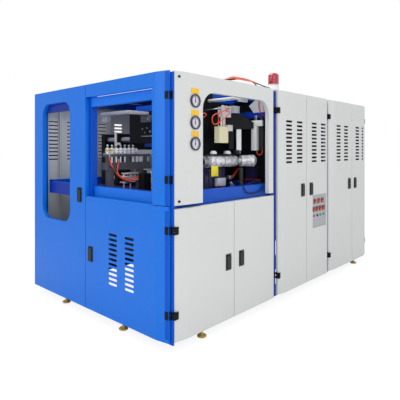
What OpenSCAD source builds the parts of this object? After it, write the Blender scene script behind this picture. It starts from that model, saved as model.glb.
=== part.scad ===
// Linear stretch blow moulding machine: a blue sheet-metal body on a welded frame, white front doors,
// an open arch in front of the blowing unit, a heating oven bay and an electrical bay.
// X runs along the machine from its blue end, Y runs from the front to the back, Z is up from the floor.

/* [Body] */
// Length of the body, from the blue end to the far end
length = 3502; // [3400:1:3600]
// Depth of the body, front doors to rear panels
depth = 2014; // [1950:1:2100]
// Height of the doors
body_h = 1920; // [1880:1:2000]
// Clear height under the doors
foot_h = 80; // [70:1:110]
// Depth of a door's folded edge
door_t = 38; // [34:1:42]
// Sheet thickness of doors and panels
sheet = 2; // [1.5:0.1:3]
// Distance from the door faces to the frame
frame_set = 40; // [40:1:44]
// Gap between neighbouring doors
seam = 6; // [4:1:8]

/* [Frame] */
// Width of a square post
post_w = 60; // [50:1:70]
// Width of the post between blowing bay and oven bay
mid_post_w = 80; // [70:1:90]
// Wall of the frame tubes
tube_wall = 4; // [3:0.5:6]
// Height of the lowest face of the frame above the floor
frame_z = 65; // [55:1:68]
// Height of the base and top rails
rail_h = 80; // [60:1:90]
// Start of the post between blowing bay and oven bay
mid_post_x = 1310; // [1300:1:1330]
// Start of the post between oven bay and electrical bay
far_post_x = 2380; // [2370:1:2395]
// Place of the middle post of the blue end
end_post_y = 1035; // [1020:1:1050]
// Top face of the deck
deck_z = 1080; // [1060:1:1100]
// Set-back of the deck rails from the door faces
deck_set = 70; // [60:1:80]
// Height of the deck rails
deck_rail_h = 110; // [90:1:130]

/* [Doors] */
// Width of the bent facet along an outer door edge
facet_w = 115; // [90:1:125]
// How far a facet falls back at the edge
facet_fall = 18; // [8:1:22]
// Height of the lower doors of the blowing bay
low_door_h = 940; // [900:1:955]
// Width of a vent slot
slot_w = 110; // [80:1:112]
// Height of a vent slot
slot_h = 20; // [12:1:24]
// Pitch of the vent slots
slot_pitch = 39.4; // [34:0.2:42]
// Slots in one column
slot_rows = 11; // [8:1:12]

/* [Hardware] */
// Width of a paddle latch
latch_w = 64; // [56:1:70]
// Height of a paddle latch
latch_h = 128; // [110:1:134]
// Radius of a hinge knuckle
knuckle_r = 6; // [5:0.5:6]
// Radius of a hinge pin
hinge_pin_r = 3; // [2.5:0.1:3.5]
// Height of a hinge
hinge_h = 56; // [48:1:64]
// Diameter of a pressure gauge
gauge_d = 100; // [90:1:105]
// Diameter of the warning beacon
beacon_d = 108; // [90:1:112]
// Diameter of a levelling foot
foot_d = 73; // [60:1:80]

/* [Blowing unit] */
// Left side of the clamp plates
clamp_x = 540; // [530:1:560]
// Width of the clamp plates
clamp_w = 640; // [600:1:660]
// Front face of the front clamp plate
platen_y = 470; // [450:1:480]
// Thickness of a clamp plate
platen_t = 60; // [50:1:70]
// Height of the clamp plates
platen_h = 520; // [480:1:540]
// Diameter of a tie bar
tie_d = 50; // [40:1:60]
// Opening stroke of the mould
mould_stroke = 160; // [120:1:170]
// Stroke of the stretch head
stretch_stroke = 160; // [100:1:170]

/* [Hidden] */
$fn = 48;
eps = 1;
// Heights that follow from the driving sizes
door_top = foot_h + body_h;
post_top = door_top - 10;
arch_z = foot_h + low_door_h + 25;
arch_h = door_top - arch_z;
// Lowest slot of the tall doors' vents
vent_z = door_top - 680;
// Frame members
corner_x = frame_set;
right_post_x = length - post_w;
front_post_y = frame_set;
rear_post_y = depth - frame_set - post_w;
deck_rail_z = deck_z - 65;
ring_z = door_top - 190;
hood_rail_z = post_top - 249;
oven_beam_ys = [520, 1420];
panel_beam_y = 1480;
nose_w = 14;
nose_out = 25;
// Door edges along X and Y
hinge_room = 15;
main_x0 = 58;
main_x1 = mid_post_x - 10;
main_seam = 715;
oven_x0 = mid_post_x + mid_post_w + 6;
oven_x1 = far_post_x - 7;
oven_seam = 1912;
cab_x0 = far_post_x + post_w + 4;
cab_x1 = length - hinge_room;
cab_seam = cab_x1 - 444;
end_y0 = 39;
end_seam = 1064;
end_y1 = depth - hinge_room;
// Hinges: distance from a pin to the door's edge, and from the pin to the frame's face
hinge_side = 8;
hinge_back = 18;
corner_back = 8.5;
end_back = 14;
leaf_t = 1.6;
pin_gap = 0.05;
hinge_step = 0.5;
// Latches
latch_rim = 6;
latch_proud = 12;
latch_back = 14;
paddle_gap = 1;
barrel_r = 5;
latch_pin_r = 2.5;
recess_w = latch_w - 2 * latch_rim;
recess_h = latch_h - 2 * latch_rim;
barrel_z = recess_h / 2 - 12;
barrel_y = 3;
low_latch_z = 540;
high_latch_z = 1033;
end_tall_spot = [1157, 0, high_latch_z + 13];
end_lower_spot = [984, 0, low_latch_z + 15];
front_left_spot = [main_seam - 75, 0, low_latch_z];
front_right_spot = [main_seam + 96, 0, low_latch_z];
oven_left_spot = [oven_seam - 75, 0, high_latch_z];
oven_right_spot = [oven_seam + 100, 0, high_latch_z];
cabinet_left_spot = [cab_seam - 81, 0, high_latch_z];
cabinet_right_spot = [cab_seam + 89, 0, high_latch_z];
// Overall box and the origin at the middle of its foot
x_min = -latch_proud;
y_min = -latch_proud;
origin = [(length + x_min) / 2, (depth + y_min) / 2, 0];

// Basic shapes

module box(lo, hi) {
    translate(lo) cube(hi - lo);
}

// A rectangular tube from corner lo to corner hi, open along the given axis
module tube(lo, hi, axis) {
    inner_lo = [for (i = [0:2]) i == axis ? lo[i] - eps : lo[i] + tube_wall];
    inner_hi = [for (i = [0:2]) i == axis ? hi[i] + eps : hi[i] - tube_wall];
    difference() {
        box(lo, hi);
        box(inner_lo, inner_hi);
    }
}

module tube_round(r, wall, h) {
    difference() {
        cylinder(r = r, h = h);
        translate([0, 0, -eps]) cylinder(r = r - wall, h = h + 2 * eps);
    }
}

module obround(w, h) {
    square([w - h, h], center = true);
    translate([(w - h) / 2, 0]) circle(d = h);
    translate([-(w - h) / 2, 0]) circle(d = h);
}

module rounded(w, h, r) {
    square([w - 2 * r, h], center = true);
    square([w, h - 2 * r], center = true);
    for (sx = [-1, 1], sy = [-1, 1])
        translate([sx * (w / 2 - r), sy * (h / 2 - r)]) circle(r = r);
}

// A flat outline drawn in X and Z, given a depth along Y
module upright(y0, y1) {
    translate([0, y1, 0]) rotate([90, 0, 0]) linear_extrude(y1 - y0) children();
}

// Pieces of the blue end are drawn like front pieces and swapped over
module at_end() {
    mirror([1, -1, 0]) children();
}

module placed() {
    translate(-origin) children();
}

// Doors

function pan_outline(w, t, left, right, s) = concat(
    left > 0 ? [[s, facet_fall + s], [left, s]] : [[s, s]],
    right > 0 ? [[w - right, s], [w - s, facet_fall + s]] : [[w - s, s]],
    [[w - s, t], [s, t]]
);

// A folded sheet pan: face, four returns and their inner lips
module pan(w, h, t, left = 0, right = 0) {
    lip = 14;
    difference() {
        linear_extrude(h) polygon(pan_outline(w, t, left, right, 0));
        translate([0, 0, sheet]) linear_extrude(h - 2 * sheet)
            polygon(pan_outline(w, t - sheet, left, right, sheet));
        box([lip, t - sheet - eps, lip], [w - lip, t + eps, h - lip]);
    }
}

module slot_column(x, z0) {
    for (i = [0:slot_rows - 1])
        translate([x, -eps, z0 + i * slot_pitch]) upright(0, sheet + 2 * eps) obround(slot_w, slot_h);
}

// The fixed dish of a paddle latch, open to the front, centred on its own face
module latch_dish() {
    difference() {
        box([-latch_w / 2, -3, -latch_h / 2], [latch_w / 2, latch_back, latch_h / 2]);
        box([-recess_w / 2, -3 - eps, -recess_h / 2], [recess_w / 2, latch_back - sheet, recess_h / 2]);
        translate([-latch_w / 2 - eps, barrel_y, barrel_z]) rotate([0, 90, 0])
            cylinder(r = latch_pin_r + pin_gap, h = latch_w + 2 * eps);
    }
}

module latch_hole() {
    box([-latch_w / 2, -eps, -latch_h / 2], [latch_w / 2, sheet + eps, latch_h / 2]);
}

// The moving paddle with its barrel and pin
module latch_paddle() {
    color([0.06, 0.06, 0.07]) {
        half = recess_w / 2 - paddle_gap;
        box([-half, -latch_proud, 4 - recess_h / 2], [half, -latch_proud + 5, barrel_z + 5]);
        box([-half, -latch_proud, barrel_z - 4], [half, barrel_y, barrel_z + 4]);
        translate([-half, barrel_y, barrel_z]) rotate([0, 90, 0]) cylinder(r = barrel_r, h = 2 * half);
        translate([-latch_w / 2 + 1, barrel_y, barrel_z]) rotate([0, 90, 0])
            cylinder(r = latch_pin_r, h = latch_w - 2);
    }
}

// Door side of a hinge, pin on the local Z axis, door edge at +X
module door_knuckle(y0, y1) {
    z0 = hinge_h / 3 + hinge_step;
    z1 = 2 * hinge_h / 3 - hinge_step;
    difference() {
        union() {
            translate([0, 0, z0]) cylinder(r = knuckle_r, h = z1 - z0);
            box([0, -knuckle_r / 2, z0], [hinge_side, knuckle_r / 2, z1]);
            box([hinge_side - 1.5, y0, 0], [hinge_side, y1, hinge_h]);
        }
        translate([0, 0, -eps]) cylinder(r = hinge_pin_r + pin_gap, h = hinge_h + 2 * eps);
    }
}

// Frame side of a hinge with its pin, frame face at +Y
module frame_leaf(back, p0, p1) {
    band = hinge_h / 3;
    for (z0 = [0, 2 * band]) {
        translate([0, 0, z0]) cylinder(r = knuckle_r, h = band);
        box([-1.5, 0, z0], [1.5, back - leaf_t / 2, z0 + band]);
    }
    translate([0, 0, -2]) cylinder(r = hinge_pin_r, h = hinge_h + 4);
    box([p0, back - leaf_t, 0], [p1, back, hinge_h]);
}

// Heights of the hinges: bottom edges
low_pair = [foot_h + 166, foot_h + 763];
high_pair = [foot_h + 1121, foot_h + 1718];
tall_pair = [foot_h + 155, foot_h + 1702];

module hinged_left(x, y, pair) {
    for (z = pair) translate([x - hinge_side, y, z]) children();
}

module hinged_right(x, y, pair) {
    for (z = pair) translate([x + hinge_side, y, z]) mirror([1, 0, 0]) children();
}

pin_y = frame_set - hinge_back;
corner_pin_y = frame_set - nose_out - corner_back;

module front_door(x0, x1, h, left, right, columns, column_z, latch_at) {
    difference() {
        translate([x0, 0, foot_h]) pan(x1 - x0, h, door_t, left, right);
        for (x = columns) slot_column(x, column_z);
        translate(latch_at) latch_hole();
    }
    translate(latch_at) latch_dish();
}

panel_white = [0.86, 0.87, 0.86];
body_blue = [0.16, 0.32, 0.80];
dark_blue = [0.07, 0.12, 0.45];

module front_left_door() color(panel_white) {
    front_door(main_x0, main_seam - seam / 2, low_door_h, facet_w, 0, [], 0, front_left_spot);
    hinged_left(main_x0, corner_pin_y, low_pair) door_knuckle(-3, 24);
}

module front_right_door() color(panel_white) {
    front_door(main_seam + seam / 2, main_x1, low_door_h, 0, 0, [], 0, front_right_spot);
    hinged_right(main_x1, pin_y, low_pair) door_knuckle(-3, 12);
}

module oven_left_door() color(panel_white) {
    front_door(oven_x0, oven_seam - seam / 2, body_h, facet_w - 25, 0,
        [oven_x0 + 177, oven_seam - 136], vent_z, oven_left_spot);
    hinged_left(oven_x0, pin_y, tall_pair) door_knuckle(-3, 12);
}

// The control plate sits in a shallow window of this door
window_x0 = 2044;
window_x1 = 2351;
window_z0 = 616;
window_z1 = high_latch_z - latch_h / 2 - 6;
window_set = 10;

module oven_right_door() color(panel_white) {
    difference() {
        front_door(oven_seam + seam / 2, oven_x1, body_h, 0, 0, [oven_seam + 168, oven_x1 - 88], vent_z,
            oven_right_spot);
        box([window_x0, -eps, window_z0], [window_x1, sheet + eps, window_z1]);
    }
    difference() {
        box([window_x0 - sheet, 0, window_z0 - sheet], [window_x1 + sheet, window_set, window_z1 + sheet]);
        box([window_x0, -eps, window_z0], [window_x1, window_set + eps, window_z1]);
    }
    hinged_right(oven_x1, pin_y, tall_pair) door_knuckle(-3, 12);
}

module cabinet_left_door() color(panel_white) {
    front_door(cab_x0, cab_seam - seam / 2, body_h, facet_w, 0, [cab_x0 + 226, cab_seam - 169], vent_z,
        cabinet_left_spot);
    hinged_left(cab_x0, pin_y, tall_pair) door_knuckle(-3, 12);
}

module cabinet_right_door() color(panel_white) {
    front_door(cab_seam + seam / 2, cab_x1, body_h, 0, facet_w - 25,
        [cab_seam + 164, cab_x1 - 87], vent_z, cabinet_right_spot);
    hinged_right(cab_x1, pin_y, tall_pair) door_knuckle(-3, 12);
}

module end_lower_door() color(body_blue) at_end() {
    front_door(end_y0, end_seam - seam / 2, low_door_h + 20, facet_w, 0, [457, 669], 364,
        end_lower_spot);
    hinged_left(end_y0, frame_set - end_back, low_pair) door_knuckle(-3, 12);
}

// An inverted L: a top band and a stile at the corner, each edge of the opening folded inwards
stile_w = 153;
band_h = 108;
reveal = frame_set - 1;

module end_upper_door() color(body_blue) at_end() {
    x1 = end_seam - seam / 2;
    stile_x = end_y0 + stile_w;
    band_z = door_top - band_h;
    difference() {
        translate([end_y0, 0, arch_z]) pan(x1 - end_y0, arch_h, door_t, facet_w, 0);
        box([stile_x, -eps, arch_z - eps], [x1 + eps, door_t + eps, band_z]);
    }
    box([stile_x - sheet, 0, arch_z], [stile_x, reveal, band_z + sheet]);
    box([stile_x, 0, band_z], [x1, reveal, band_z + sheet]);
    hinged_left(end_y0, frame_set - end_back, high_pair) door_knuckle(-3, 12);
}

// A tall door with a round-cornered window whose edge is folded inwards
glass_y0 = 1320;
glass_y1 = 1831;
glass_z0 = 780;
glass_z1 = 1880;
glass_r = 110;

module window_outline(grow) {
    translate([(glass_y0 + glass_y1) / 2, (glass_z0 + glass_z1) / 2])
        rounded(glass_y1 - glass_y0 + 2 * grow, glass_z1 - glass_z0 + 2 * grow, glass_r + grow);
}

module end_tall_door() color(body_blue) at_end() {
    difference() {
        front_door(end_seam + seam / 2, end_y1, body_h, 0, 0, [], 0, end_tall_spot);
        translate([0, -eps, 0]) upright(0, sheet + 2 * eps) window_outline(0);
    }
    difference() {
        upright(0, reveal) window_outline(sheet);
        translate([0, -eps, 0]) upright(0, reveal + 2 * eps) window_outline(0);
    }
    hinged_right(end_y1, frame_set - end_back, tall_pair) door_knuckle(-3, 12);
}

module hinge_leaves() color([0.05, 0.05, 0.06]) {
    hinged_left(main_x0, corner_pin_y, low_pair) frame_leaf(corner_back, -9, 3);
    hinged_right(main_x1, pin_y, low_pair) frame_leaf(hinge_back, -26, 1.5);
    hinged_left(oven_x0, pin_y, tall_pair) frame_leaf(hinge_back, -26, 1.5);
    hinged_right(oven_x1, pin_y, tall_pair) frame_leaf(hinge_back, -26, 1.5);
    hinged_left(cab_x0, pin_y, tall_pair) frame_leaf(hinge_back, -26, 1.5);
    hinged_right(cab_x1, pin_y, tall_pair) frame_leaf(hinge_back, -4, 40);
    at_end() {
        hinged_left(end_y0, frame_set - end_back, concat(low_pair, high_pair)) frame_leaf(end_back, -15, 1.5);
        hinged_right(end_y1, frame_set - end_back, tall_pair) frame_leaf(end_back, -4, 40);
    }
}

module end_tall_latch() at_end() translate(end_tall_spot) latch_paddle();
module end_lower_latch() at_end() translate(end_lower_spot) latch_paddle();
module front_left_latch() translate(front_left_spot) latch_paddle();
module front_right_latch() translate(front_right_spot) latch_paddle();
module oven_left_latch() translate(oven_left_spot) latch_paddle();
module oven_right_latch() translate(oven_right_spot) latch_paddle();
module cabinet_left_latch() translate(cabinet_left_spot) latch_paddle();
module cabinet_right_latch() translate(cabinet_right_spot) latch_paddle();

// Frame

module post(x, y, w, d) {
    tube([x, y, frame_z], [x + w, y + d, post_top], 2);
}

module frame_posts() color(dark_blue) {
    post(corner_x, front_post_y, post_w, post_w);
    post(corner_x, rear_post_y, post_w, post_w);
    post(corner_x, end_post_y, post_w, post_w);
    post(mid_post_x, front_post_y, mid_post_w, post_w);
    post(mid_post_x, rear_post_y, mid_post_w, post_w);
    post(far_post_x, front_post_y, post_w, post_w);
    post(far_post_x, rear_post_y, post_w, post_w);
    post(right_post_x, front_post_y, post_w, post_w);
    post(right_post_x, rear_post_y, post_w, post_w);
    box([corner_x, frame_set - nose_out, frame_z], [corner_x + nose_w, frame_set + eps, post_top]);
    box([corner_x, rear_post_y + post_w - eps, frame_z],
        [corner_x + nose_w, depth - 2, post_top]);
}

// Rails along X, each between two posts
bays = [
    [corner_x + post_w, mid_post_x], [mid_post_x + mid_post_w, far_post_x],
    [far_post_x + post_w, right_post_x]
];

module long_rails() color(dark_blue) {
    for (bay = bays, y = [front_post_y, rear_post_y], z = [frame_z, post_top - rail_h])
        tube([bay[0], y, z], [bay[1], y + post_w, z + rail_h], 0);
    for (y = oven_beam_ys)
        tube([mid_post_x + post_w, y, frame_z], [far_post_x, y + post_w, frame_z + rail_h], 0);
    tube([far_post_x + post_w, panel_beam_y, frame_z],
        [right_post_x, panel_beam_y + post_w, frame_z + rail_h], 0);
    tube([corner_x + post_w, deck_set, deck_rail_z],
        [mid_post_x, deck_set + post_w, deck_rail_z + deck_rail_h], 0);
    tube([clamp_x, platen_y, platen_top], [mid_post_x, platen_y + platen_t, post_top], 0);
    tube([corner_x + post_w, depth - deck_set - 2 * post_w, deck_rail_z + 15],
        [mid_post_x, depth - deck_set - post_w, deck_rail_z + 15 + deck_rail_h], 0);
}

// Rails along Y: base rails, beams under the bays, the deck's end rails and the ring of the blue end
module cross_rails() color(dark_blue) {
    y0 = front_post_y + post_w;
    y1 = rear_post_y;
    for (x = [mid_post_x, far_post_x, right_post_x], z = [frame_z, post_top - rail_h])
        tube([x, y0, z], [x + post_w, y1, z + rail_h], 1);
    for (span = [[y0, end_post_y], [end_post_y + post_w, y1]]) {
        tube([corner_x, span[0], frame_z], [corner_x + post_w, span[1], frame_z + rail_h], 1);
        tube([corner_x, span[0], ring_z], [corner_x + post_w, span[1], ring_z + rail_h], 1);
    }
    deck_y0 = deck_set + post_w;
    deck_y1 = depth - deck_set - 2 * post_w;
    tube([deck_set, deck_y0, deck_rail_z], [deck_set + post_w, end_post_y, deck_rail_z + deck_rail_h], 1);
    tube([deck_set, end_post_y + post_w, deck_rail_z],
        [deck_set + post_w, deck_y1, deck_rail_z + deck_rail_h], 1);
    tube([mid_post_x, y0, deck_rail_z], [mid_post_x + post_w, y1, deck_rail_z + deck_rail_h], 1);
    tube([mid_post_x, y0, hood_rail_z], [mid_post_x + post_w, y1, hood_rail_z + post_w], 1);
}

// Levelling feet: a pad, a ball neck and a stem up to the frame
foot_spots = [
    [length - 252, front_post_y + post_w / 2], [length - 252, rear_post_y + post_w / 2],
    [far_post_x + post_w / 2, 230], [far_post_x + post_w / 2, depth - 230],
    [mid_post_x + post_w / 2, 230], [mid_post_x + post_w / 2, depth - 230],
    [400, rear_post_y + post_w / 2], [corner_x + post_w / 2, 620], [corner_x + post_w / 2, 1500],
    [400, front_post_y + post_w / 2]
];

module levelling_feet() color([0.62, 0.58, 0.40]) {
    for (spot = foot_spots) translate(spot) {
        rotate_extrude() polygon([
            [0, 0], [foot_d / 2 - 2, 0], [foot_d / 2, 3], [foot_d / 2, 10], [foot_d / 2 - 8, 16],
            [14, 20], [14, 26], [0, 26]
        ]);
        cylinder(r = 9, h = frame_z);
        translate([0, 0, frame_z - 12]) cylinder(r = 16, h = 12, $fn = 6);
    }
}

module deck_plate() color([0.28, 0.28, 0.46]) {
    box([deck_set + post_w, deck_set + post_w, deck_z - 10],
        [mid_post_x, depth - deck_set - 2 * post_w, deck_z]);
}

// The white arch in front of the blowing unit: a folded panel, open at its foot
arch_x0 = 336;
arch_x1 = 1223;
arch_top = door_top - 122;
arch_r = 130;

module arch_outline(grow) {
    w = arch_x1 - arch_x0 + 2 * grow;
    translate([(arch_x0 + arch_x1) / 2, arch_top + grow - 300]) rounded(w, 600, arch_r + grow);
    translate([arch_x0 - grow, arch_z - eps]) square([w, arch_top - 300 - arch_z]);
}

module arch_panel() color(panel_white) {
    difference() {
        union() {
            translate([main_x0, 0, arch_z]) pan(main_x1 - 6 - main_x0, arch_h, frame_set, facet_w, 0);
            intersection() {
                upright(0, frame_set + 2) arch_outline(sheet);
                box([main_x0, 0, arch_z], [main_x1, frame_set, door_top]);
            }
        }
        translate([0, -eps, 0]) upright(0, frame_set + 4) arch_outline(0);
    }
}

// Bolted covers: rear pans with vents, the far end and the roof over the closed bays
rear_edges = [58, 282, 895, mid_post_x + mid_post_w / 2, far_post_x + post_w / 2, length];
rear_columns = [[210], [421, 813], [1038], [1600, 2130], [2680, length - 302]];
rear_vent_z = vent_z + 20;
roof_gap = 0.5;
// A bare corner plate between the hood rail and the top rail
corner_plate_t = 3;
corner_plate = [
    [104, hood_rail_z + post_w - 8], [230, hood_rail_z + post_w - 8], [285, post_top - 128],
    [200, post_top - rail_h + 8], [104, post_top - rail_h + 8]
];

module cover_panels() color([0.70, 0.73, 0.78]) {
    for (i = [0:len(rear_edges) - 2]) {
        x0 = rear_edges[i] + (i == 0 ? 0 : seam / 2);
        x1 = rear_edges[i + 1] - (i == len(rear_edges) - 2 ? 0 : seam / 2);
        difference() {
            translate([x1, depth, foot_h]) rotate([0, 0, 180]) pan(x1 - x0, body_h, frame_set);
            translate([0, depth - sheet - eps, 0])
                for (x = rear_columns[i]) slot_column(x, rear_vent_z);
        }
    }
    translate([length, front_post_y + post_w, frame_z + rail_h]) rotate([0, 0, 90])
        pan(rear_post_y - front_post_y - post_w, post_top - 2 * rail_h - frame_z, door_t);
    roof_y1 = depth - frame_set - roof_gap;
    difference() {
        box([mid_post_x, frame_set, post_top], [length, roof_y1, door_top]);
        box([mid_post_x + sheet, frame_set + sheet, post_top - eps],
            [length - sheet, roof_y1 - sheet, door_top - sheet]);
    }
    translate([mid_post_x, 0, 0]) rotate([90, 0, -90]) linear_extrude(corner_plate_t) polygon([
        for (p = corner_plate) [-p[0], p[1]]
    ]);
}

// Beacon: foot, clear dome and the reflector that turns inside it
beacon_at = [1400, 66, door_top];
beacon_base_h = 57;
beacon_h = 167;

module beacon_base() color([0.10, 0.10, 0.12]) translate(beacon_at) {
    box([-30, -18, 0], [30, 40, 4]);
    translate([0, 0, 4]) rotate_extrude() polygon([
        [0, 0], [beacon_d / 2, 0], [beacon_d / 2, 12], [beacon_d / 2 - 4, 16],
        [beacon_d / 2 - 4, beacon_base_h - 4], [0, beacon_base_h - 4]
    ]);
    translate([0, 0, beacon_base_h - eps]) cylinder(r = 4, h = 30);
}

module beacon_dome() color([1.0, 0.45, 0.30, 0.6]) translate(beacon_at) {
    r = beacon_d / 2 - 4;
    translate([0, 0, beacon_base_h]) rotate_extrude() difference() {
        union() {
            square([r, beacon_h - beacon_base_h - 30]);
            translate([0, beacon_h - beacon_base_h - 30]) intersection() {
                scale([1, 30 / r]) circle(r = r);
                square([r, r]);
            }
        }
        translate([-eps, -eps]) square([r - 3 + eps, beacon_h - beacon_base_h - 30 + eps]);
        translate([0, beacon_h - beacon_base_h - 30]) intersection() {
            scale([1, 27 / (r - 3)]) circle(r = r - 3);
            translate([-eps, -eps]) square([r, r]);
        }
    }
}

module beacon_reflector() color([0.9, 0.9, 0.92]) translate(beacon_at + [0, 0, beacon_base_h + 3]) {
    difference() {
        union() {
            cylinder(r = 12, h = 24);
            translate([0, 0, 4]) difference() {
                cylinder(r = 32, h = 48);
                translate([0, 0, -eps]) cylinder(r = 29, h = 50);
                box([-4, -40, -2], [40, 40, 50]);
            }
            box([-31, -3, 4], [0, 3, 10]);
        }
        translate([0, 0, -eps]) cylinder(r = 4 + pin_gap, h = 30);
    }
}

// Pressure gauges on the white post of the arch
gauge_x = 249;
gauge_zs = [door_top - 200, door_top - 360, door_top - 515];

module gauge_cases() color([0.75, 0.76, 0.78]) {
    for (z = gauge_zs) translate([gauge_x, 0, z]) rotate([90, 0, 0]) {
        difference() {
            cylinder(d = gauge_d, h = latch_proud);
            translate([0, 0, 4]) cylinder(d = gauge_d - 10, h = latch_proud);
        }
        cylinder(r = 1.5, h = 9);
    }
}

module needle(z) color([0.05, 0.05, 0.05]) translate([gauge_x, 0, z]) rotate([90, 0, 0]) {
    difference() {
        union() {
            translate([0, 0, 6]) cylinder(r = 5, h = 2);
            translate([0, 0, 6]) linear_extrude(1.2)
                polygon([[-3, -14], [3, -14], [1, gauge_d / 2 - 12], [-1, gauge_d / 2 - 12]]);
        }
        translate([0, 0, 5]) cylinder(r = 1.5 + pin_gap, h = 5);
    }
}

module gauge_needle_1() needle(gauge_zs[0]);
module gauge_needle_2() needle(gauge_zs[1]);
module gauge_needle_3() needle(gauge_zs[2]);

// Blowing unit: clamp plates on four tie bars along Y, the mould between them
clamp_x1 = clamp_x + clamp_w;
clamp_mid = clamp_x + clamp_w / 2;
clamp_z = deck_z;
platen_x1 = clamp_x1 + 40;
platen_top = post_top - 100;
platen_back = platen_y + platen_t;
part_y = 960;
mould_t = 230;
mould_pad_t = 140;
tie_inset = 55;
tie_xs = [clamp_x + tie_inset, clamp_x1 - tie_inset];
tie_zs = [clamp_z + 70, clamp_z + platen_h - 60];
moving_y = part_y + mould_t + mould_pad_t;
cross_y = moving_y + platen_t + mould_stroke + 10;
cross_back = cross_y + platen_t;
tie_y1 = cross_back + 40;
tie_gap = 0.1;
nut_t = 24;
rod_r = 35;
rod_y1 = cross_back + 5;
rod_z = clamp_z + platen_h / 2;
mould_w = 420;
mould_z = clamp_z + 60;
mould_h = 300;
mould_x = clamp_x + (clamp_w - mould_w) / 2;
cavity_xs = [mould_x + mould_w / 4, mould_x + mould_w * 3 / 4];
cavity_r = 42;
cavity_h = 190;
neck_r = 15;
// Black sheet metal of the blowing unit
guard_x = mid_post_x + post_w;
guard_t = 3;
passage_y = [880, 1120];
cheek_z = 1505;
cheek_y1 = 1150;
cheek_t = 20;
shelf_z = 1390;
shelf_top = 1402;
shelf_y = 290;
// The slanted hood runs from the front plate to the front post
hood_at = [960, platen_y];
hood_turn = -42.3;
hood_t = 14;
hood_z = platen_top - 256;
hood_outline = [
    [8, hood_z], [8, hood_z + 133], [200, hood_z + 136], [296, hood_z + 142], [386, hood_z + 78],
    [450, hood_z + 34], [450, hood_z + 12], [362, hood_z]
];
flap_w = 60;
flap_outline = [
    [8, hood_z], [8, hood_z + 6], [450, hood_z + 18], [450, hood_z + 12], [362, hood_z]
];
dark_column = [[175, 4, hood_z - 188], [217, 36, hood_z + 6]];
light_column = [[247, 14.5, hood_z - 200], [292, 54, hood_z]];

// The four tie bars, or their holes when a gap is given
module tie_rods(y0, y1, gap) {
    for (x = tie_xs, z = tie_zs)
        translate([x, y1, z]) rotate([90, 0, 0]) cylinder(d = tie_d + 2 * gap, h = y1 - y0);
}

// The front plate reaches up behind the blowing valves; black sheets close the bay towards the oven
module front_platen() color([0.10, 0.11, 0.13]) {
    difference() {
        box([clamp_x, platen_y, clamp_z], [platen_x1, platen_back, platen_top]);
        tie_rods(platen_y - eps, platen_back + eps, tie_gap);
    }
    box([700, shelf_y, shelf_z], [platen_x1, platen_y + eps, shelf_top]);
    for (span = [[front_post_y + post_w, passage_y[0]], [passage_y[1], rear_post_y]])
        box([guard_x, span[0], deck_rail_z + 20], [guard_x + guard_t, span[1], post_top - 20]);
    translate([hood_at[0], hood_at[1], 0]) rotate([0, 0, hood_turn]) {
        upright(0, hood_t) polygon(hood_outline);
        upright(0, flap_w) polygon(flap_outline);
        box(dark_column[0], dark_column[1]);
    }
    box(bracket_lo, bracket_hi);
    box(cream_bracket_lo, cream_bracket_hi);
}

module tie_bars() color([0.80, 0.81, 0.83]) {
    tie_rods(platen_y - 30, tie_y1, 0);
    for (x = tie_xs, z = tie_zs, y = [platen_y, cross_back + nut_t])
        translate([x, y, z]) rotate([90, 0, 0]) cylinder(r = tie_d / 2 + 14, h = nut_t, $fn = 6);
}

module moving_platen() color([0.16, 0.17, 0.20]) {
    difference() {
        box([clamp_x, moving_y, clamp_z + 1], [clamp_x1, moving_y + platen_t, clamp_z + platen_h]);
        tie_rods(moving_y - eps, moving_y + platen_t + eps, tie_gap);
    }
    translate([clamp_mid, rod_y1, rod_z]) rotate([90, 0, 0])
        cylinder(r = rod_r, h = rod_y1 - moving_y - platen_t + eps);
}

// The rear crosshead, and the black cheek that covers the clamp's side under the top beam
module rear_crosshead() color([0.10, 0.11, 0.13]) {
    difference() {
        box([clamp_x, cross_y, clamp_z], [clamp_x1, cross_back, clamp_z + platen_h]);
        tie_rods(cross_y - eps, cross_back + eps, tie_gap);
        translate([clamp_mid, cross_back + eps, rod_z])
            rotate([90, 0, 0]) cylinder(r = rod_r + pin_gap, h = platen_t + 2 * eps);
    }
    box([clamp_x, platen_back + 0.3, cheek_z], [clamp_x + cheek_t, cheek_y1, beam_z]);
}

module clamp_cylinder() color([0.70, 0.71, 0.73]) {
    translate([clamp_mid, cross_back, rod_z]) rotate([-90, 0, 0])
        difference() {
            union() {
                cylinder(r = 80, h = 14);
                cylinder(r = 65, h = mould_stroke + 20);
            }
            translate([0, 0, -eps]) cylinder(r = rod_r + 5, h = mould_stroke + 12 + eps);
        }
}

module mould_half(y0, y1) {
    cavity_y = y0 < part_y - 1 ? y1 : y0;
    shoulder_z = mould_z + 40 + cavity_h;
    difference() {
        box([mould_x, y0, mould_z], [mould_x + mould_w, y1, mould_z + mould_h]);
        for (x = cavity_xs) translate([x, cavity_y, 0]) {
            translate([0, 0, shoulder_z - cavity_h]) cylinder(r = cavity_r, h = cavity_h);
            translate([0, 0, shoulder_z - eps]) cylinder(r1 = cavity_r, r2 = neck_r, h = 41);
            translate([0, 0, shoulder_z + 39]) cylinder(r = neck_r, h = mould_h);
        }
    }
}

module mould_pad(y0, y1) {
    box([mould_x + 40, y0, mould_z], [mould_x + mould_w - 40, y1, mould_z + mould_h - 40]);
}

module mould_front() color([0.72, 0.73, 0.75]) {
    mould_half(part_y - mould_t, part_y - 0.2);
    mould_pad(platen_back, part_y - mould_t + eps);
}

module mould_rear() color([0.72, 0.73, 0.75]) {
    mould_half(part_y + 0.2, part_y + mould_t);
    mould_pad(part_y + mould_t - eps, moving_y);
}

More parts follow.
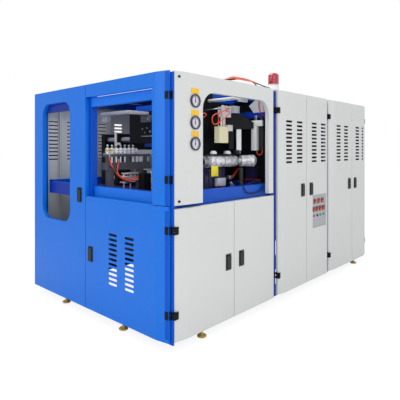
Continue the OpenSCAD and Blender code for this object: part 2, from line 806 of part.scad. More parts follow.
// Stretch unit: a top beam over the mould on two columns, and the head that slides on them
column_r = 20;
column_xs = [mould_x + 30, mould_x + mould_w - 30];
guide_z = mould_z + mould_h + 30;
guide_t = 30;
beam_t = 50;
rod_tip_r = 8;
seal_r = 24;
head_t = 60;
head_low = guide_z + guide_t + stretch_stroke + 20;
beam_z = head_low + head_t + 60;
// Distance from the clamp plates' sides to the guide plate
guide_inset = 80;

module stretch_frame() color([0.20, 0.34, 0.80]) {
    difference() {
        box([clamp_x, platen_back, beam_z], [platen_x1, part_y + 90, beam_z + beam_t]);
        for (x = cavity_xs)
            translate([x, part_y, beam_z - eps]) cylinder(r = seal_r + 6, h = beam_t + 2 * eps);
    }
    for (x = column_xs)
        translate([x, part_y, guide_z]) cylinder(r = column_r, h = beam_z + beam_t + 20 - guide_z);
    difference() {
        box([clamp_x + guide_inset, platen_back, guide_z],
            [clamp_x1 - guide_inset, part_y + 60, guide_z + guide_t]);
        for (x = cavity_xs)
            translate([x, part_y, guide_z - eps]) cylinder(r = seal_r + 10, h = guide_t + 2 * eps);
    }
}

module stretch_head() color([0.78, 0.79, 0.80]) {
    difference() {
        box([mould_x - 20, part_y - 60, head_low], [mould_x + mould_w + 20, part_y + 60, head_low + head_t]);
        for (x = column_xs) translate([x, part_y, head_low - eps])
            cylinder(r = column_r + tie_gap, h = head_t + 2 * eps);
    }
    for (x = cavity_xs) translate([x, part_y, head_low]) {
        translate([0, 0, -110]) cylinder(r = rod_tip_r, h = 120);
        translate([0, 0, -50]) cylinder(r = seal_r, h = 60);
    }
}

// Blowing valves in front of the front plate: a drilled block, a finned silencer, feed tubes to the cream box
block_lo = [934, 300, platen_top - 152];
block_hi = [1049, 360, platen_top - 60];
cream_lo = [886, 300, platen_top - 388];
cream_hi = [1010, 360, platen_top - 240];
fin_lo = [1110, 310, platen_top - 104];
fin_hi = [1196, 380, platen_top - 38];
fin_pitch = 18;
feed_xs = [953, 975, 996];
feed_y = 330;
// Caps on the shelf: place and radius
shelf_caps = [[825, 320, 30], [1020, 320, 34], [1200, 320, 14]];
cap_h = 20;
air_x = 930;
air_z = platen_top + 3;
air_r = 12;
// Brackets that carry the block, the silencer and the cream box
bracket_lo = [964, block_hi[1], platen_top - 118];
bracket_hi = [1019, platen_y + eps, platen_top - 82];
cream_bracket_lo = [926, cream_hi[1], platen_top - 338];
cream_bracket_hi = [970, platen_y + eps, platen_top - 290];

module valve_block() color([0.80, 0.81, 0.82]) {
    difference() {
        box(block_lo, block_hi);
        for (z = [block_lo[2] + 28, block_hi[2] - 28]) translate([block_lo[0] + 84, block_lo[1] + 12, z])
            rotate([90, 0, 0]) cylinder(r = 9, h = 14);
    }
    for (x = [block_lo[0] + 25, block_lo[0] + 50, block_hi[0] - 25])
        translate([x, feed_y, block_hi[2] - eps]) {
            cylinder(r = 11, h = 10, $fn = 6);
            cylinder(r = 7, h = 18);
        }
    for (x = feed_xs)
        translate([x, feed_y, cream_hi[2]]) cylinder(r = 6, h = block_lo[2] - cream_hi[2] + eps);
    // Finned silencer
    box([fin_lo[0] + 8, fin_lo[1] + 8, fin_lo[2]], [fin_hi[0] - 8, platen_y, fin_hi[2]]);
    for (z = [fin_lo[2] : fin_pitch : fin_hi[2] - 10])
        box([fin_lo[0], fin_lo[1], z], [fin_hi[0], fin_hi[1], z + 10]);
    // Fitting beside the cream box, column under the hood and caps on the shelf
    box([cream_hi[0], cream_lo[1], cream_hi[2] - 38], [cream_hi[0] + 66, cream_hi[1], cream_hi[2] + 18]);
    translate([hood_at[0], hood_at[1], 0]) rotate([0, 0, hood_turn]) box(light_column[0], light_column[1]);
    for (cap = shelf_caps) translate([cap[0], cap[1], shelf_top]) {
        cylinder(r = cap[2], h = cap_h);
        cylinder(r = cap[2] * 0.7, h = cap_h + 8);
    }
    // Air line from the front rail to the portal beam
    translate([air_x, platen_y, air_z]) rotate([90, 0, 0])
        cylinder(r = air_r, h = platen_y - front_post_y - post_w);
    box([air_x - 22, front_post_y + 10, air_z - 16],
        [air_x + 48, front_post_y + 80, post_top - rail_h]);
}

module valve_box() color([0.85, 0.82, 0.74]) {
    box(cream_lo, cream_hi);
}

// Energy chain under the hood's end: links with a rounded back
chain_at = [mid_post_x - 20, 110, hood_rail_z - 295];
chain_pitch = 22;
chain_links = 9;
chain_w = 40;

module drag_chain() color([0.05, 0.05, 0.06]) {
    for (i = [0:chain_links - 1]) translate(chain_at + [0, 0, i * chain_pitch]) {
        box([0, 4, 0], [mid_post_x - chain_at[0], chain_w - 4, chain_pitch + 0.5]);
        box([-6, 0, 3], [mid_post_x - chain_at[0], chain_w, chain_pitch - 4]);
    }
    box([chain_at[0] + 4, chain_at[1] + 8, chain_at[2] + (chain_links - 1) * chain_pitch],
        [mid_post_x, chain_at[1] + chain_w - 8, hood_rail_z + 20]);
}

// Preform line at the blue end: a beam on legs, a top plate, and the carriage with its mandrels
rail_y = 960;
rail_w = 80;
rail_x = [150, 640];
track_top = 1400;
track_z = track_top - 22;
rail_top = track_z - 52;
rail_low = rail_top - 65;
mandrel_pitch = 47;
mandrels = 7;

module conveyor_rail() color([0.22, 0.23, 0.26]) {
    box([rail_x[0], rail_y, rail_low], [rail_x[1], rail_y + rail_w, rail_top]);
    for (x = [rail_x[0] + 30, rail_x[1] - 120])
        box([x, rail_y + 10, deck_z], [x + 50, rail_y + rail_w - 10, rail_low + eps]);
    for (x = [rail_x[0] + 20, (rail_x[0] + rail_x[1]) / 2, rail_x[1] - 40])
        box([x, rail_y + 20, rail_top - eps], [x + 20, rail_y + rail_w - 20, track_z + eps]);
    box([rail_x[0], rail_y + 6, track_z], [rail_x[1], rail_y + rail_w - 6, track_top]);
}

module mandrel() {
    rotate_extrude() polygon([
        [0, 0], [19, 0], [19, 8], [12, 12], [12, 24], [17, 26], [17, 44],
        [13, 48], [9, 50], [9, 72], [7, 75], [0, 75]
    ]);
}

module mandrel_carriage() color([0.82, 0.82, 0.80]) {
    box([rail_x[0] + 6, rail_y + 14, track_top + 0.3],
        [rail_x[0] + 340, rail_y + rail_w - 14, track_top + 10]);
    for (i = [0:mandrels - 1])
        translate([rail_x[0] + 32 + i * mandrel_pitch, rail_y + rail_w / 2, track_top + 9]) mandrel();
}

motor_at = [400, 760];
motor_w = 80;

module drive_motor() color([0.08, 0.08, 0.09]) translate([motor_at[0], motor_at[1], deck_z]) {
    box([0, 0, 0], [motor_w, motor_w, 20]);
    box([2, 2, 19], [motor_w - 2, motor_w - 2, 150]);
    for (z = [30 : 14 : 135]) box([0, 0, z], [motor_w, motor_w, z + 8]);
    translate([motor_w / 2, motor_w / 2, 149]) cylinder(r = 20, h = 30);
}

// The insulated pipe: a wrapped run along the shelf, a neck and a capped end that turns to the front
pipe_z = 1335;
pipe_r = 52;
pipe_at = [730, 320, pipe_z];
pipe_run = 400;
pipe_turn = -27;

module insulated_pipe() color([0.82, 0.83, 0.84]) {
    translate(pipe_at) rotate([0, 90, 0]) {
        translate([0, 0, -60]) cylinder(r = 42, h = 62);
        cylinder(r = pipe_r, h = pipe_run);
    }
    translate(pipe_at + [pipe_run, 0, 0]) {
        sphere(r = 34);
        rotate([0, 0, pipe_turn]) rotate([0, 90, 0]) {
            cylinder(r = 26, h = 64);
            translate([0, 0, 56]) cylinder(r = pipe_r, h = 64);
            translate([0, 0, 119]) cylinder(r1 = pipe_r, r2 = 16, h = 44);
        }
    }
    for (x = [pipe_at[0] + 60, pipe_at[0] + pipe_run - 90])
        box([x, pipe_at[1] - 12, pipe_z + pipe_r - 8], [x + 30, platen_y, shelf_z]);
}

module junction_boxes() color([0.10, 0.13, 0.35]) {
    box([745, 345, deck_z], [1020, platen_y, 1270]);
    for (x = [790, 880, 970]) box([x, 339, deck_z + 20], [x + 12, 346, 1250]);
    box([mid_post_x + 6, 225, deck_rail_z + deck_rail_h], [guard_x, 330, 1280]);
}

// Heating oven: a bench, a bank of lamps and a fan
bench_top = 1080;
bench_t = 20;
bench_x = [mid_post_x + 110, far_post_x - 30];
bench_y = [500, 1500];
fan_at = [1880, 1000];
fan_low = 920;
duct_r = 160;
shaft_r = 12;
fan_r = 138;

module oven_bench() color([0.45, 0.47, 0.50]) {
    box([bench_x[0], bench_y[0], bench_top - bench_t], [bench_x[1], bench_y[1], bench_top]);
    for (x = [bench_x[0] + 20, bench_x[1] - 80], y = oven_beam_ys)
        box([x, y, frame_z + rail_h], [x + post_w, y + post_w, bench_top - bench_t + eps]);
    translate([fan_at[0], fan_at[1], fan_low - 20]) {
        tube_round(duct_r, 3, bench_top - fan_low);
        box([-duct_r - 10, -8, 140], [duct_r + 10, 8, 160]);
        cylinder(r = shaft_r, h = 160);
    }
}

lamp_w = 180;
lamp_pitch = 210;
lamp_h = 420;
cheek_w = 6;
lamp_r = 6;

module lamp_bank() color([0.80, 0.80, 0.78]) {
    for (i = [0:3]) translate([bench_x[0] + 60 + i * lamp_pitch, bench_y[0] + 200, bench_top]) {
        box([0, 0, 0], [lamp_w, 40, lamp_h]);
        for (k = [0:7]) translate([cheek_w + 0.3, 56, 50 + k * 45]) rotate([0, 90, 0])
            cylinder(r = lamp_r, h = lamp_w - 2 * cheek_w - 0.6);
        for (x = [0, lamp_w - cheek_w]) box([x, 39, 0], [x + cheek_w, 70, lamp_h]);
    }
}

module fan_rotor() color([0.55, 0.56, 0.58]) translate([fan_at[0], fan_at[1], fan_low]) {
    difference() {
        union() {
            cylinder(r = 30, h = 60);
            for (i = [0:7]) rotate([0, 0, i * 45]) translate([28, -2, 5]) cube([fan_r - 28, 4, 50]);
        }
        translate([0, 0, -eps]) cylinder(r = shaft_r + pin_gap, h = 70);
    }
}

// Electrical plate on its beam: three rows of devices and three cable ducts
plate_t = 3;
electric_x = [far_post_x + 140, right_post_x - 42];
electric_top = post_top - 140;

module electrical_plate() color([0.80, 0.62, 0.35]) {
    y = panel_beam_y + 30;
    x0 = electric_x[0] + 40;
    x1 = electric_x[1] - 40;
    box([electric_x[0], y, frame_z + rail_h], [electric_x[1], y + plate_t, electric_top]);
    for (z = [500, 900, 1300]) {
        box([x0, y - 100, z], [x1, y + eps, z + 120]);
        box([x0, y - 60, z + 180], [x1, y + eps, z + 240]);
    }
}

// Controls on the oven's right door
controller = 48;
plate_y = window_set;
row_1_z = 894;
row_2_z = 811;
button_z = 740;
button_xs = [2089, 2161, 2233, 2305];
controller_spots = concat(
    [for (i = [0:2]) [2110 + i * 84, row_1_z]],
    [for (i = [0:3]) [button_xs[i], row_2_z]]
);
button_r = 11;

module control_plate() color([0.66, 0.67, 0.69]) {
    difference() {
        box([window_x0 - sheet, plate_y, window_z0 - sheet],
            [window_x1 + sheet, plate_y + 3, window_z1 + sheet]);
        for (spot = controller_spots) translate([spot[0], 0, spot[1]])
            box([-controller / 2 + 2, 0, -controller / 2 + 2], [controller / 2 - 2, 20, controller / 2 - 2]);
        for (x = button_xs)
            translate([x, 20, button_z]) rotate([90, 0, 0]) cylinder(r = button_r + 0.3, h = 20);
    }
}

module temperature_controllers() color([0.12, 0.12, 0.13]) {
    for (spot = controller_spots) translate([spot[0], 0, spot[1]]) {
        box([-controller / 2, plate_y - 8, -controller / 2], [controller / 2, plate_y, controller / 2]);
        box([-controller / 2 + 2.2, plate_y - eps, -controller / 2 + 2.2],
            [controller / 2 - 2.2, plate_y + 60, controller / 2 - 2.2]);
    }
}

module button(x) translate([x, 0, button_z]) rotate([-90, 0, 0]) {
    translate([0, 0, plate_y - 9]) cylinder(r = button_r, h = 30);
    translate([0, 0, plate_y + 10]) cylinder(r = button_r + 3, h = 4);
}

module red_button() color([0.80, 0.08, 0.08]) button(button_xs[0]);
module selector_switch() color([0.06, 0.06, 0.07]) {
    button(button_xs[1]);
    box([button_xs[1] - 3, plate_y - 13, button_z - 10], [button_xs[1] + 3, plate_y - 8, button_z + 10]);
}
module green_button_1() color([0.10, 0.55, 0.25]) button(button_xs[2]);
module green_button_2() color([0.10, 0.55, 0.25]) button(button_xs[3]);

// The beacon's cable lies along the front top rail
cable_r = 4;
cable_sides = 8;
cable_step = 22;
cable_points = [
    [1345, 66, 2016], [1300, 68, 2019], [1240, 70, 2025], [1170, 72, 2034], [1090, 74, 2044],
    [1010, 74, 2051], [930, 72, 2053], [860, 70, 2047], [790, 70, 2034], [720, 70, 2022],
    [650, 72, 2013], [580, 74, 2004], [510, 72, 1996], [450, 70, 1994.5], [390, 70, 1994.5]
];

// A point on the smooth curve through the route, t counting from 0 to the number of spans
function route_point(p, t) =
    let (
        i = min(floor(t), len(p) - 2), u = t - i,
        a = p[max(i - 1, 0)], b = p[i], c = p[i + 1], d = p[min(i + 2, len(p) - 1)]
    )
    0.5 * (2 * b + (c - a) * u + (2 * a - 5 * b + 4 * c - d) * u * u + (3 * b - a - 3 * c + d) * u * u * u);

function span_ts(p, step) = [
    for (i = [0:len(p) - 2]) let (n = max(1, ceil(norm(p[i + 1] - p[i]) / step)))
        for (k = [0:n - 1]) i + k / n,
    len(p) - 1
];

module cord(p, r, sides, step) {
    ts = span_ts(p, step);
    centres = [for (t = ts) route_point(p, t)];
    n = len(centres);
    function along(i) =
        let (d = centres[min(i + 1, n - 1)] - centres[max(i - 1, 0)]) d / norm(d);
    rings = [
        for (i = [0:n - 1])
            let (t = along(i), s0 = cross(t, [0, 0, 1]), s = s0 / norm(s0), v = cross(s, t))
                for (k = [0:sides - 1])
                    centres[i] + r * (cos(360 * k / sides) * s + sin(360 * k / sides) * v)
    ];
    faces = concat(
        [[for (k = [0:sides - 1]) k]],
        [for (i = [0:n - 2], k = [0:sides - 1])
            let (a = i * sides + k, b = i * sides + (k + 1) % sides)
                [a, a + sides, b + sides, b]],
        [[for (k = [sides - 1:-1:0]) (n - 1) * sides + k]]
    );
    polyhedron(points = rings, faces = faces);
}

module beacon_cable() color([0.05, 0.05, 0.05]) cord(cable_points, cable_r, cable_sides, cable_step);

placed() frame_posts();
placed() long_rails();
placed() cross_rails();
placed() levelling_feet();
placed() deck_plate();
placed() arch_panel();
placed() cover_panels();
placed() hinge_leaves();
placed() end_tall_door();
placed() end_upper_door();
placed() end_lower_door();
placed() front_left_door();
placed() front_right_door();
placed() oven_left_door();
placed() oven_right_door();
placed() cabinet_left_door();
placed() cabinet_right_door();
placed() end_tall_latch();
placed() end_lower_latch();
placed() front_left_latch();
placed() front_right_latch();
placed() oven_left_latch();
placed() oven_right_latch();
placed() cabinet_left_latch();
placed() cabinet_right_latch();
placed() beacon_base();
placed() beacon_dome();
placed() beacon_reflector();
placed() gauge_cases();
placed() gauge_needle_1();
placed() gauge_needle_2();
placed() gauge_needle_3();
placed() front_platen();
placed() tie_bars();
placed() moving_platen();
placed() mould_front();
placed() mould_rear();
placed() rear_crosshead();
placed() clamp_cylinder();
placed() stretch_frame();
placed() stretch_head();
placed() valve_block();
placed() valve_box();
placed() drag_chain();
placed() conveyor_rail();
placed() mandrel_carriage();
placed() drive_motor();
placed() insulated_pipe();
placed() junction_boxes();
placed() oven_bench();
placed() lamp_bank();
placed() fan_rotor();
placed() electrical_plate();
placed() control_plate();
placed() temperature_controllers();
placed() red_button();
placed() selector_switch();
placed() green_button_1();
placed() green_button_2();
placed() beacon_cable();
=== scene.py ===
"""The looks of a linear stretch blow moulding machine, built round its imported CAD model."""
import logging
import math
from dataclasses import dataclass
from enum import Enum
from typing import Iterable, Sequence

import bmesh
import bpy
from mathutils import Matrix, Vector


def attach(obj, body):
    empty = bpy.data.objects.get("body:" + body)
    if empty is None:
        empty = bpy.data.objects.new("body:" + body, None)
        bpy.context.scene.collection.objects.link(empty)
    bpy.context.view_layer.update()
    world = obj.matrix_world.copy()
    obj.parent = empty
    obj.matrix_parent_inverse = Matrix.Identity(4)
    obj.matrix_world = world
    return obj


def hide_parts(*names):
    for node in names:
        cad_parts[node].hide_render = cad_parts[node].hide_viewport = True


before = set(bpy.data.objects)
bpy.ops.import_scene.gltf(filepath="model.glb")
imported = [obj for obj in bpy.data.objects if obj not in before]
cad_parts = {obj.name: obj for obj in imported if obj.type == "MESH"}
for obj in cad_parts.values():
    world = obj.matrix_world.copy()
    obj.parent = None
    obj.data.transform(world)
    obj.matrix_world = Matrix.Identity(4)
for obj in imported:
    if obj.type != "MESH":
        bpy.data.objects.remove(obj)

LOG = logging.getLogger("machine")
MM = 0.001
# The machine's own coordinates start at the blue end, the front doors and the floor, in millimetres
ORIGIN = (1745.0, 1001.0)
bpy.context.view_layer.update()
CLOUD_SIZE = 0.35
ROUGHNESS_SWING = 0.12
COAT_ROUGHNESS = 0.12
SMOOTH_ANGLE = math.radians(35)
CREASE_ANGLE = 0.5
Point = tuple[float, float, float]


def place(x: float, y: float, z: float) -> Vector:
    """Turns machine millimetres into the frame's metres."""
    return Vector(((x - ORIGIN[0]) * MM, (y - ORIGIN[1]) * MM, z * MM))


def srgb(red: float, green: float, blue: float) -> tuple[float, float, float, float]:
    """Turns a colour as a screen shows it into the linear colour that a shader takes.

    Args:
        red, green, blue: screen values from 0 to 255.

    Returns:
        The linear colour with an alpha of 1.
    """
    def line(value: float) -> float:
        """One channel."""
        v = value / 255.0
        return v / 12.92 if v <= 0.04045 else ((v + 0.055) / 1.055) ** 2.4
    return (line(red), line(green), line(blue), 1.0)


class Sock:
    """A socket that takes part in Python arithmetic by adding Math nodes to its tree."""

    def __init__(self, nodes: "Nodes", socket: bpy.types.NodeSocket | None) -> None:
        """Keeps the socket and the tree that it belongs to."""
        self.nodes = nodes
        self.socket = socket

    def _math(self, operation: str, *values: "Sock | float") -> "Sock":
        """Adds one Math node with these operands."""
        return self.nodes.node("ShaderNodeMath", {"operation": operation}, dict(enumerate(values)))

    def __add__(self, other: "Sock | float") -> "Sock":
        """Adds."""
        return self._math("ADD", self, other)

    def __sub__(self, other: "Sock | float") -> "Sock":
        """Takes away."""
        return self._math("SUBTRACT", self, other)

    def __mul__(self, other: "Sock | float") -> "Sock":
        """Multiplies."""
        return self._math("MULTIPLY", self, other)

    def clamp(self) -> "Sock":
        """Keeps the value between 0 and 1."""
        return self.nodes.node("ShaderNodeClamp", {}, {0: self})


class Nodes:
    """A node tree under construction."""

    def __init__(self, tree: bpy.types.NodeTree) -> None:
        """Starts with an empty tree."""
        self.tree = tree
        tree.nodes.clear()

    def node(self, kind: str, settings: dict, values: dict, out: int | str = 0) -> Sock:
        """Adds a node.

        Args:
            kind: the node's type.
            settings: its own properties.
            values: its inputs by name or place, as numbers, colours or sockets.
            out: the output that is handed back.

        Returns:
            The chosen output, or an empty socket when the node has none.
        """
        made = self.tree.nodes.new(kind)
        for key, value in settings.items():
            setattr(made, key, value)
        for key, value in values.items():
            if isinstance(value, Sock):
                self.tree.links.new(value.socket, made.inputs[key])
            else:
                made.inputs[key].default_value = value
        return Sock(self, made.outputs[out] if made.outputs else None)


class Shader(Nodes):
    """Builds one material's node tree."""

    def __init__(self, name: str) -> None:
        """Starts a new material."""
        self.material = bpy.data.materials.new(name)
        self.material.use_nodes = True
        super().__init__(self.material.node_tree)

    def coordinates(self, scale: Point = (1.0, 1.0, 1.0)) -> Sock:
        """Object coordinates, stretched by scale."""
        raw = self.node("ShaderNodeTexCoord", {}, {}, "Object")
        return self.node("ShaderNodeMapping", {}, {"Vector": raw, "Scale": scale})

    def noise(self, size: float, stretch: Point = (1.0, 1.0, 1.0), detail: float = 3.0) -> Sock:
        """A noise pattern whose grains are about size metres across."""
        return self.node("ShaderNodeTexNoise", {}, {
            "Vector": self.coordinates(stretch), "Scale": 1.0 / size, "Detail": detail,
        })

    def mix(self, factor: "Sock | float", low: "Sock | tuple", high: "Sock | tuple") -> Sock:
        """Mixes two colours."""
        return self.node("ShaderNodeMix", {"data_type": "RGBA"}, {0: factor, 6: low, 7: high}, 2)

    def bump(self, height: Sock, depth: float) -> Sock:
        """Turns a height into a bumped normal of about depth metres."""
        return self.node("ShaderNodeBump", {}, {"Strength": 1.0, "Distance": depth, "Height": height})

    def end(self, surface: Sock) -> bpy.types.Material:
        """Ends the material in this surface and hands it back."""
        self.node("ShaderNodeOutputMaterial", {}, {"Surface": surface})
        return self.material

    def principled(self, values: dict) -> bpy.types.Material:
        """Ends the material in a Principled shader with these inputs."""
        return self.end(self.node("ShaderNodeBsdfPrincipled", {}, values))


class Grain(Enum):
    """The fine texture of a finish: its size in metres, its detail and its depth in metres."""

    SMOOTH = (0.0, 0.0, 0.0)
    ORANGE_PEEL = (0.004, 3.0, 0.00004)
    BRUSHED = (0.002, 2.0, 0.00006)
    CAST = (0.003, 6.0, 0.0003)
    FOIL = (0.034, 3.0, 0.008)


@dataclass(frozen=True)
class Finish:
    """One finish of the machine: its colour, gloss and fine texture."""

    name: str
    colour: tuple[float, float, float]
    slot: str
    roughness: float = 0.4
    metallic: float = 0.0
    coat: float = 0.0
    grain: Grain = Grain.SMOOTH
    mottle: float = 0.04
    gloss: float = 0.4

    def material(self) -> bpy.types.Material:
        """Builds the material the first time, and hands back the same one after that."""
        found = bpy.data.materials.get(self.name)
        return found if found else self._build()

    def _base(self, shader: Shader, cloud: Sock) -> Sock:
        """The base colour, which darkens a little in clouds."""
        light = srgb(*self.colour)
        dark = tuple(channel * (1.0 - 3.0 * self.mottle) for channel in light[:3]) + (1.0,)
        return shader.mix(cloud, dark, light)

    def _build(self) -> bpy.types.Material:
        """Builds the node tree."""
        shader = Shader(self.name)
        cloud = shader.noise(CLOUD_SIZE, detail=4.0)
        values = {
            "Base Color": self._base(shader, cloud),
            "Metallic": self.metallic,
            "Coat Weight": self.coat,
            "Coat Roughness": COAT_ROUGHNESS,
            "Specular IOR Level": self.gloss,
            "Roughness": cloud * ROUGHNESS_SWING + (self.roughness - ROUGHNESS_SWING / 2),
        }
        size, detail, depth = self.grain.value
        if self.grain is Grain.BRUSHED:
            lines = shader.noise(size, (1.0, 1.0, 0.05), detail)
            values["Roughness"] = lines * 0.22 + (self.roughness - 0.08)
            values["Normal"] = shader.bump(lines, depth)
        elif self.grain is Grain.FOIL:
            self._crumple(shader, values)
        elif depth:
            values["Normal"] = shader.bump(shader.noise(size, detail=detail), depth)
        return shader.principled(values)

    def _crumple(self, shader: Shader, values: dict) -> None:
        """Adds sharp creases, and soft grey patches of painted shade where the foil is folded, to the inputs of a
        foil's surface.
        """
        size, detail, depth = self.grain.value
        creases = shader.node("ShaderNodeTexVoronoi", {"feature": "DISTANCE_TO_EDGE"}, {
            "Vector": shader.coordinates((1.0, 2.2, 1.4)), "Scale": 34.0,
        })
        fold_shade = ((shader.noise(size, (1.0, 1.6, 1.3), 1.0) - 0.36) * 4.0).clamp()
        values["Normal"] = shader.bump(creases + shader.noise(size, detail=detail) * 0.8, depth)
        values["Roughness"] = creases * 0.5 + self.roughness
        # The grey (182, 182, 186) is painted shade in the folded places of the shiny foil.
        values["Base Color"] = shader.mix(fold_shade, srgb(182, 182, 186), srgb(*self.colour))


@dataclass(frozen=True)
class BlueWithPaintedShade(Finish):
    """A frame blue whose own colour is a darker blue, painted shade on frame parts inside the machine; it is the outer
    colour where X is below edge and Y below side, both in metres.
    """

    outer: tuple[float, float, float] = (10, 113, 222)
    edge: float = -1.672
    side: float = 0.05
    sharpness: float = 4000.0

    def _base(self, shader: Shader, cloud: Sock) -> Sock:
        """The outer colour below both lines, and elsewhere the finish's own colour, which is painted shade."""
        shaded_sides = [((shader.node("ShaderNodeSeparateXYZ", {}, {0: shader.coordinates()}, axis) - line)
                   * self.sharpness).clamp() for axis, line in (("X", self.edge), ("Y", self.side))]
        return shader.mix((shaded_sides[0] + shaded_sides[1]).clamp(), srgb(*self.outer), srgb(*self.colour))


@dataclass(frozen=True)
class Lens(Finish):
    """A clear coloured moulding that lets light through."""

    alpha: float = 0.5
    ribs: float = 55.0
    rib_alpha: float = 0.15
    rib_lift: float = 40.0

    def _build(self) -> bpy.types.Material:
        """Builds a glossy, partly see-through surface with a moulded ribbing."""
        shader = Shader(self.name)
        ribs = shader.node("ShaderNodeTexWave", {"bands_direction": "Z"}, {
            "Vector": shader.coordinates(), "Scale": self.ribs, "Distortion": 0.0,
        }, 1)
        lifted = srgb(*(min(255, channel + self.rib_lift) for channel in self.colour))
        return shader.principled({
            "Base Color": shader.mix(ribs, srgb(*self.colour), lifted),
            "Roughness": self.roughness,
            "Alpha": ribs * self.rib_alpha + self.alpha,
            "Coat Weight": 1.0,
            "Coat Roughness": 0.05,
        })


WHITE_PAINT = Finish("panel_white", (208, 210, 208), "white_paint", 0.45, 0.0, 0.1, Grain.ORANGE_PEEL, 0.012)
BLUE_PAINT = Finish("body_blue", (4, 112, 220), "blue_paint", 0.42, 0.0, 0.16, Grain.ORANGE_PEEL, 0.03, 0.22)
FRAME_BLUE = Finish("frame_blue", (0, 78, 188), "dark_blue_paint", 0.42, 0.0, 0.04, Grain.ORANGE_PEEL, 0.03, 0.22)
# The end rails' own dark navy is painted shade on the rails inside the machine and behind the tall window; the outer
# end rails take the body blue.
END_RAIL_SHADE_BLUE = BlueWithPaintedShade("end_rail_blue_and_shade", (0, 44, 150), "dark_blue_paint", 0.42, 0.0, 0.04, Grain.ORANGE_PEEL, gloss=0.22)
# The posts past machine x 1285 mm take a darker blue as painted shade, the others the frame blue.
POST_SHADE_BLUE = BlueWithPaintedShade("post_blue_and_shade", (18, 50, 148), "dark_blue_paint", 0.42, 0.0, 0.04, Grain.ORANGE_PEEL, gloss=0.22,
                     outer=(0, 78, 188), edge=-0.46, side=9.0)
INNER_GREY = Finish("inner_grey", (190, 194, 198), "grey_paint", 0.45, 0.0, 0.1, Grain.ORANGE_PEEL, 0.03)
# The deck is painted in the frame's blue; this darker violet is painted shade inside the machine.
DECK_SHADE_PAINT = Finish("deck_violet_shade", (66, 62, 128), "deck_steel", 0.22, 0.0, 0.5, Grain.ORANGE_PEEL, 0.05)
BLACK_COAT = Finish("black_coat", (17, 18, 21), "black_metal", 0.5, 0.0, 0.0, Grain.ORANGE_PEEL, 0.05, 0.15)
BLACK_PLASTIC = Finish("black_plastic", (7, 8, 9), "black_plastic", 0.6, grain=Grain.CAST, gloss=0.08)
STEEL = Finish("machined_steel", (176, 178, 182), "steel", 0.3, 0.9, grain=Grain.BRUSHED)
ALUMINIUM = Finish("machined_aluminium", (206, 208, 210), "aluminium", 0.36, 0.75, grain=Grain.BRUSHED)
CONTROL_GREY = Finish("control_grey", (168, 172, 178), "grey_paint", 0.45, 0.0, 0.1, Grain.ORANGE_PEEL, 0.03)
ZINC = Finish("yellow_zinc", (214, 180, 84), "zinc", 0.42, 0.35, grain=Grain.BRUSHED)
FOIL = Finish("insulation_foil", (240, 239, 240), "foil", 0.3, 0.35, grain=Grain.FOIL)
CREAM = Finish("cream_moulding", (236, 230, 190), "cream_plastic", 0.4, grain=Grain.CAST)
RED = Finish("red_moulding", (196, 24, 26), "red_plastic", 0.3, coat=0.4)
GREEN = Finish("green_moulding", (36, 132, 72), "green_plastic", 0.3, coat=0.4)
ORANGE = Finish("orange_hose", (240, 82, 32), "red_plastic", 0.35, coat=0.3)
CONTROLLER_ORANGE = Finish("controller_orange", (214, 80, 34), "red_plastic", 0.35)
YELLOW = Finish("yellow_plate", (246, 190, 20), "cream_plastic", 0.4, coat=0.2)
RUBBER = Finish("black_rubber", (16, 16, 17), "cable", 0.55, grain=Grain.CAST)
DOME_RED = Lens("beacon_red", (160, 4, 30), "dome", 0.12, alpha=0.7)
PINK = Finish("faded_hose", (238, 128, 110), "red_plastic", 0.4, coat=0.2)
DARK_RED = Finish("lever_grip", (150, 22, 26), "red_plastic", 0.4, coat=0.2)
TAG_YELLOW = Finish("tag_yellow", (244, 226, 30), "cream_plastic", 0.4, coat=0.2)
PALE_BOX = Finish("pale_box", (196, 198, 212), "grey_paint", 0.4, coat=0.2)
DARK_GREY = Finish("dark_grey_paint", (90, 89, 98), "black_metal", 0.4, 0.1, 0.1, Grain.ORANGE_PEEL, 0.04)
NAVY = Finish("navy_paint", (34, 34, 72), "dark_blue_paint", 0.4, 0.0, 0.2, Grain.ORANGE_PEEL, 0.05)
BRASS = Finish("brass", (206, 196, 156), "zinc", 0.3, 0.5, grain=Grain.BRUSHED)
BRIGHT_STEEL = Finish("bright_steel", (228, 230, 234), "steel", 0.24, 0.5, grain=Grain.BRUSHED)
BEZEL = Finish("bezel_chrome", (72, 74, 80), "steel", 0.14, 0.95)
DIAL = Finish("dial_pale", (206, 204, 218), "white_paint", 0.3, coat=0.6)
ANODISED = Finish("pale_anodised", (226, 228, 226), "aluminium", 0.4, 0.15, grain=Grain.BRUSHED)
CLEAR = Lens("clear_lens", (236, 232, 232), "dome", 0.12, alpha=0.35)


def soften(bm: bmesh.types.BMesh, verts: Iterable[bmesh.types.BMVert], width: float) -> None:
    """Rounds the sharp edges among these vertices."""
    chosen = set(verts)
    edges = [e for e in bm.edges if chosen.issuperset(e.verts) and e.calc_face_angle(0.0) > CREASE_ANGLE]
    bmesh.ops.bevel(bm, geom=edges, offset=width, offset_type="OFFSET", affect="EDGES", segments=2, profile=0.5,
                    material=-1, clamp_overlap=True)


class Shape:
    """A closed form, in machine millimetres, that meshes are made of."""

    def add(self, bm: bmesh.types.BMesh) -> None:
        """Adds the shape to a mesh."""
        raise NotImplementedError


@dataclass(frozen=True)
class Block(Shape):
    """A box with rounded edges, from its lowest to its highest corner."""

    low: Point
    high: Point
    round_by: float = 1.5

    def add(self, bm: bmesh.types.BMesh) -> None:
        """Adds the box to a mesh."""
        size = [self.high[i] - self.low[i] for i in range(3)]
        centre = Vector([(self.high[i] + self.low[i]) / 2 for i in range(3)])
        made = bmesh.ops.create_cube(bm, size=1.0, matrix=Matrix.Translation(centre)
                                     @ Matrix.Diagonal((*size, 1.0)))["verts"]
        if self.round_by > 0:
            soften(bm, made, min(self.round_by, min(size) * 0.4))


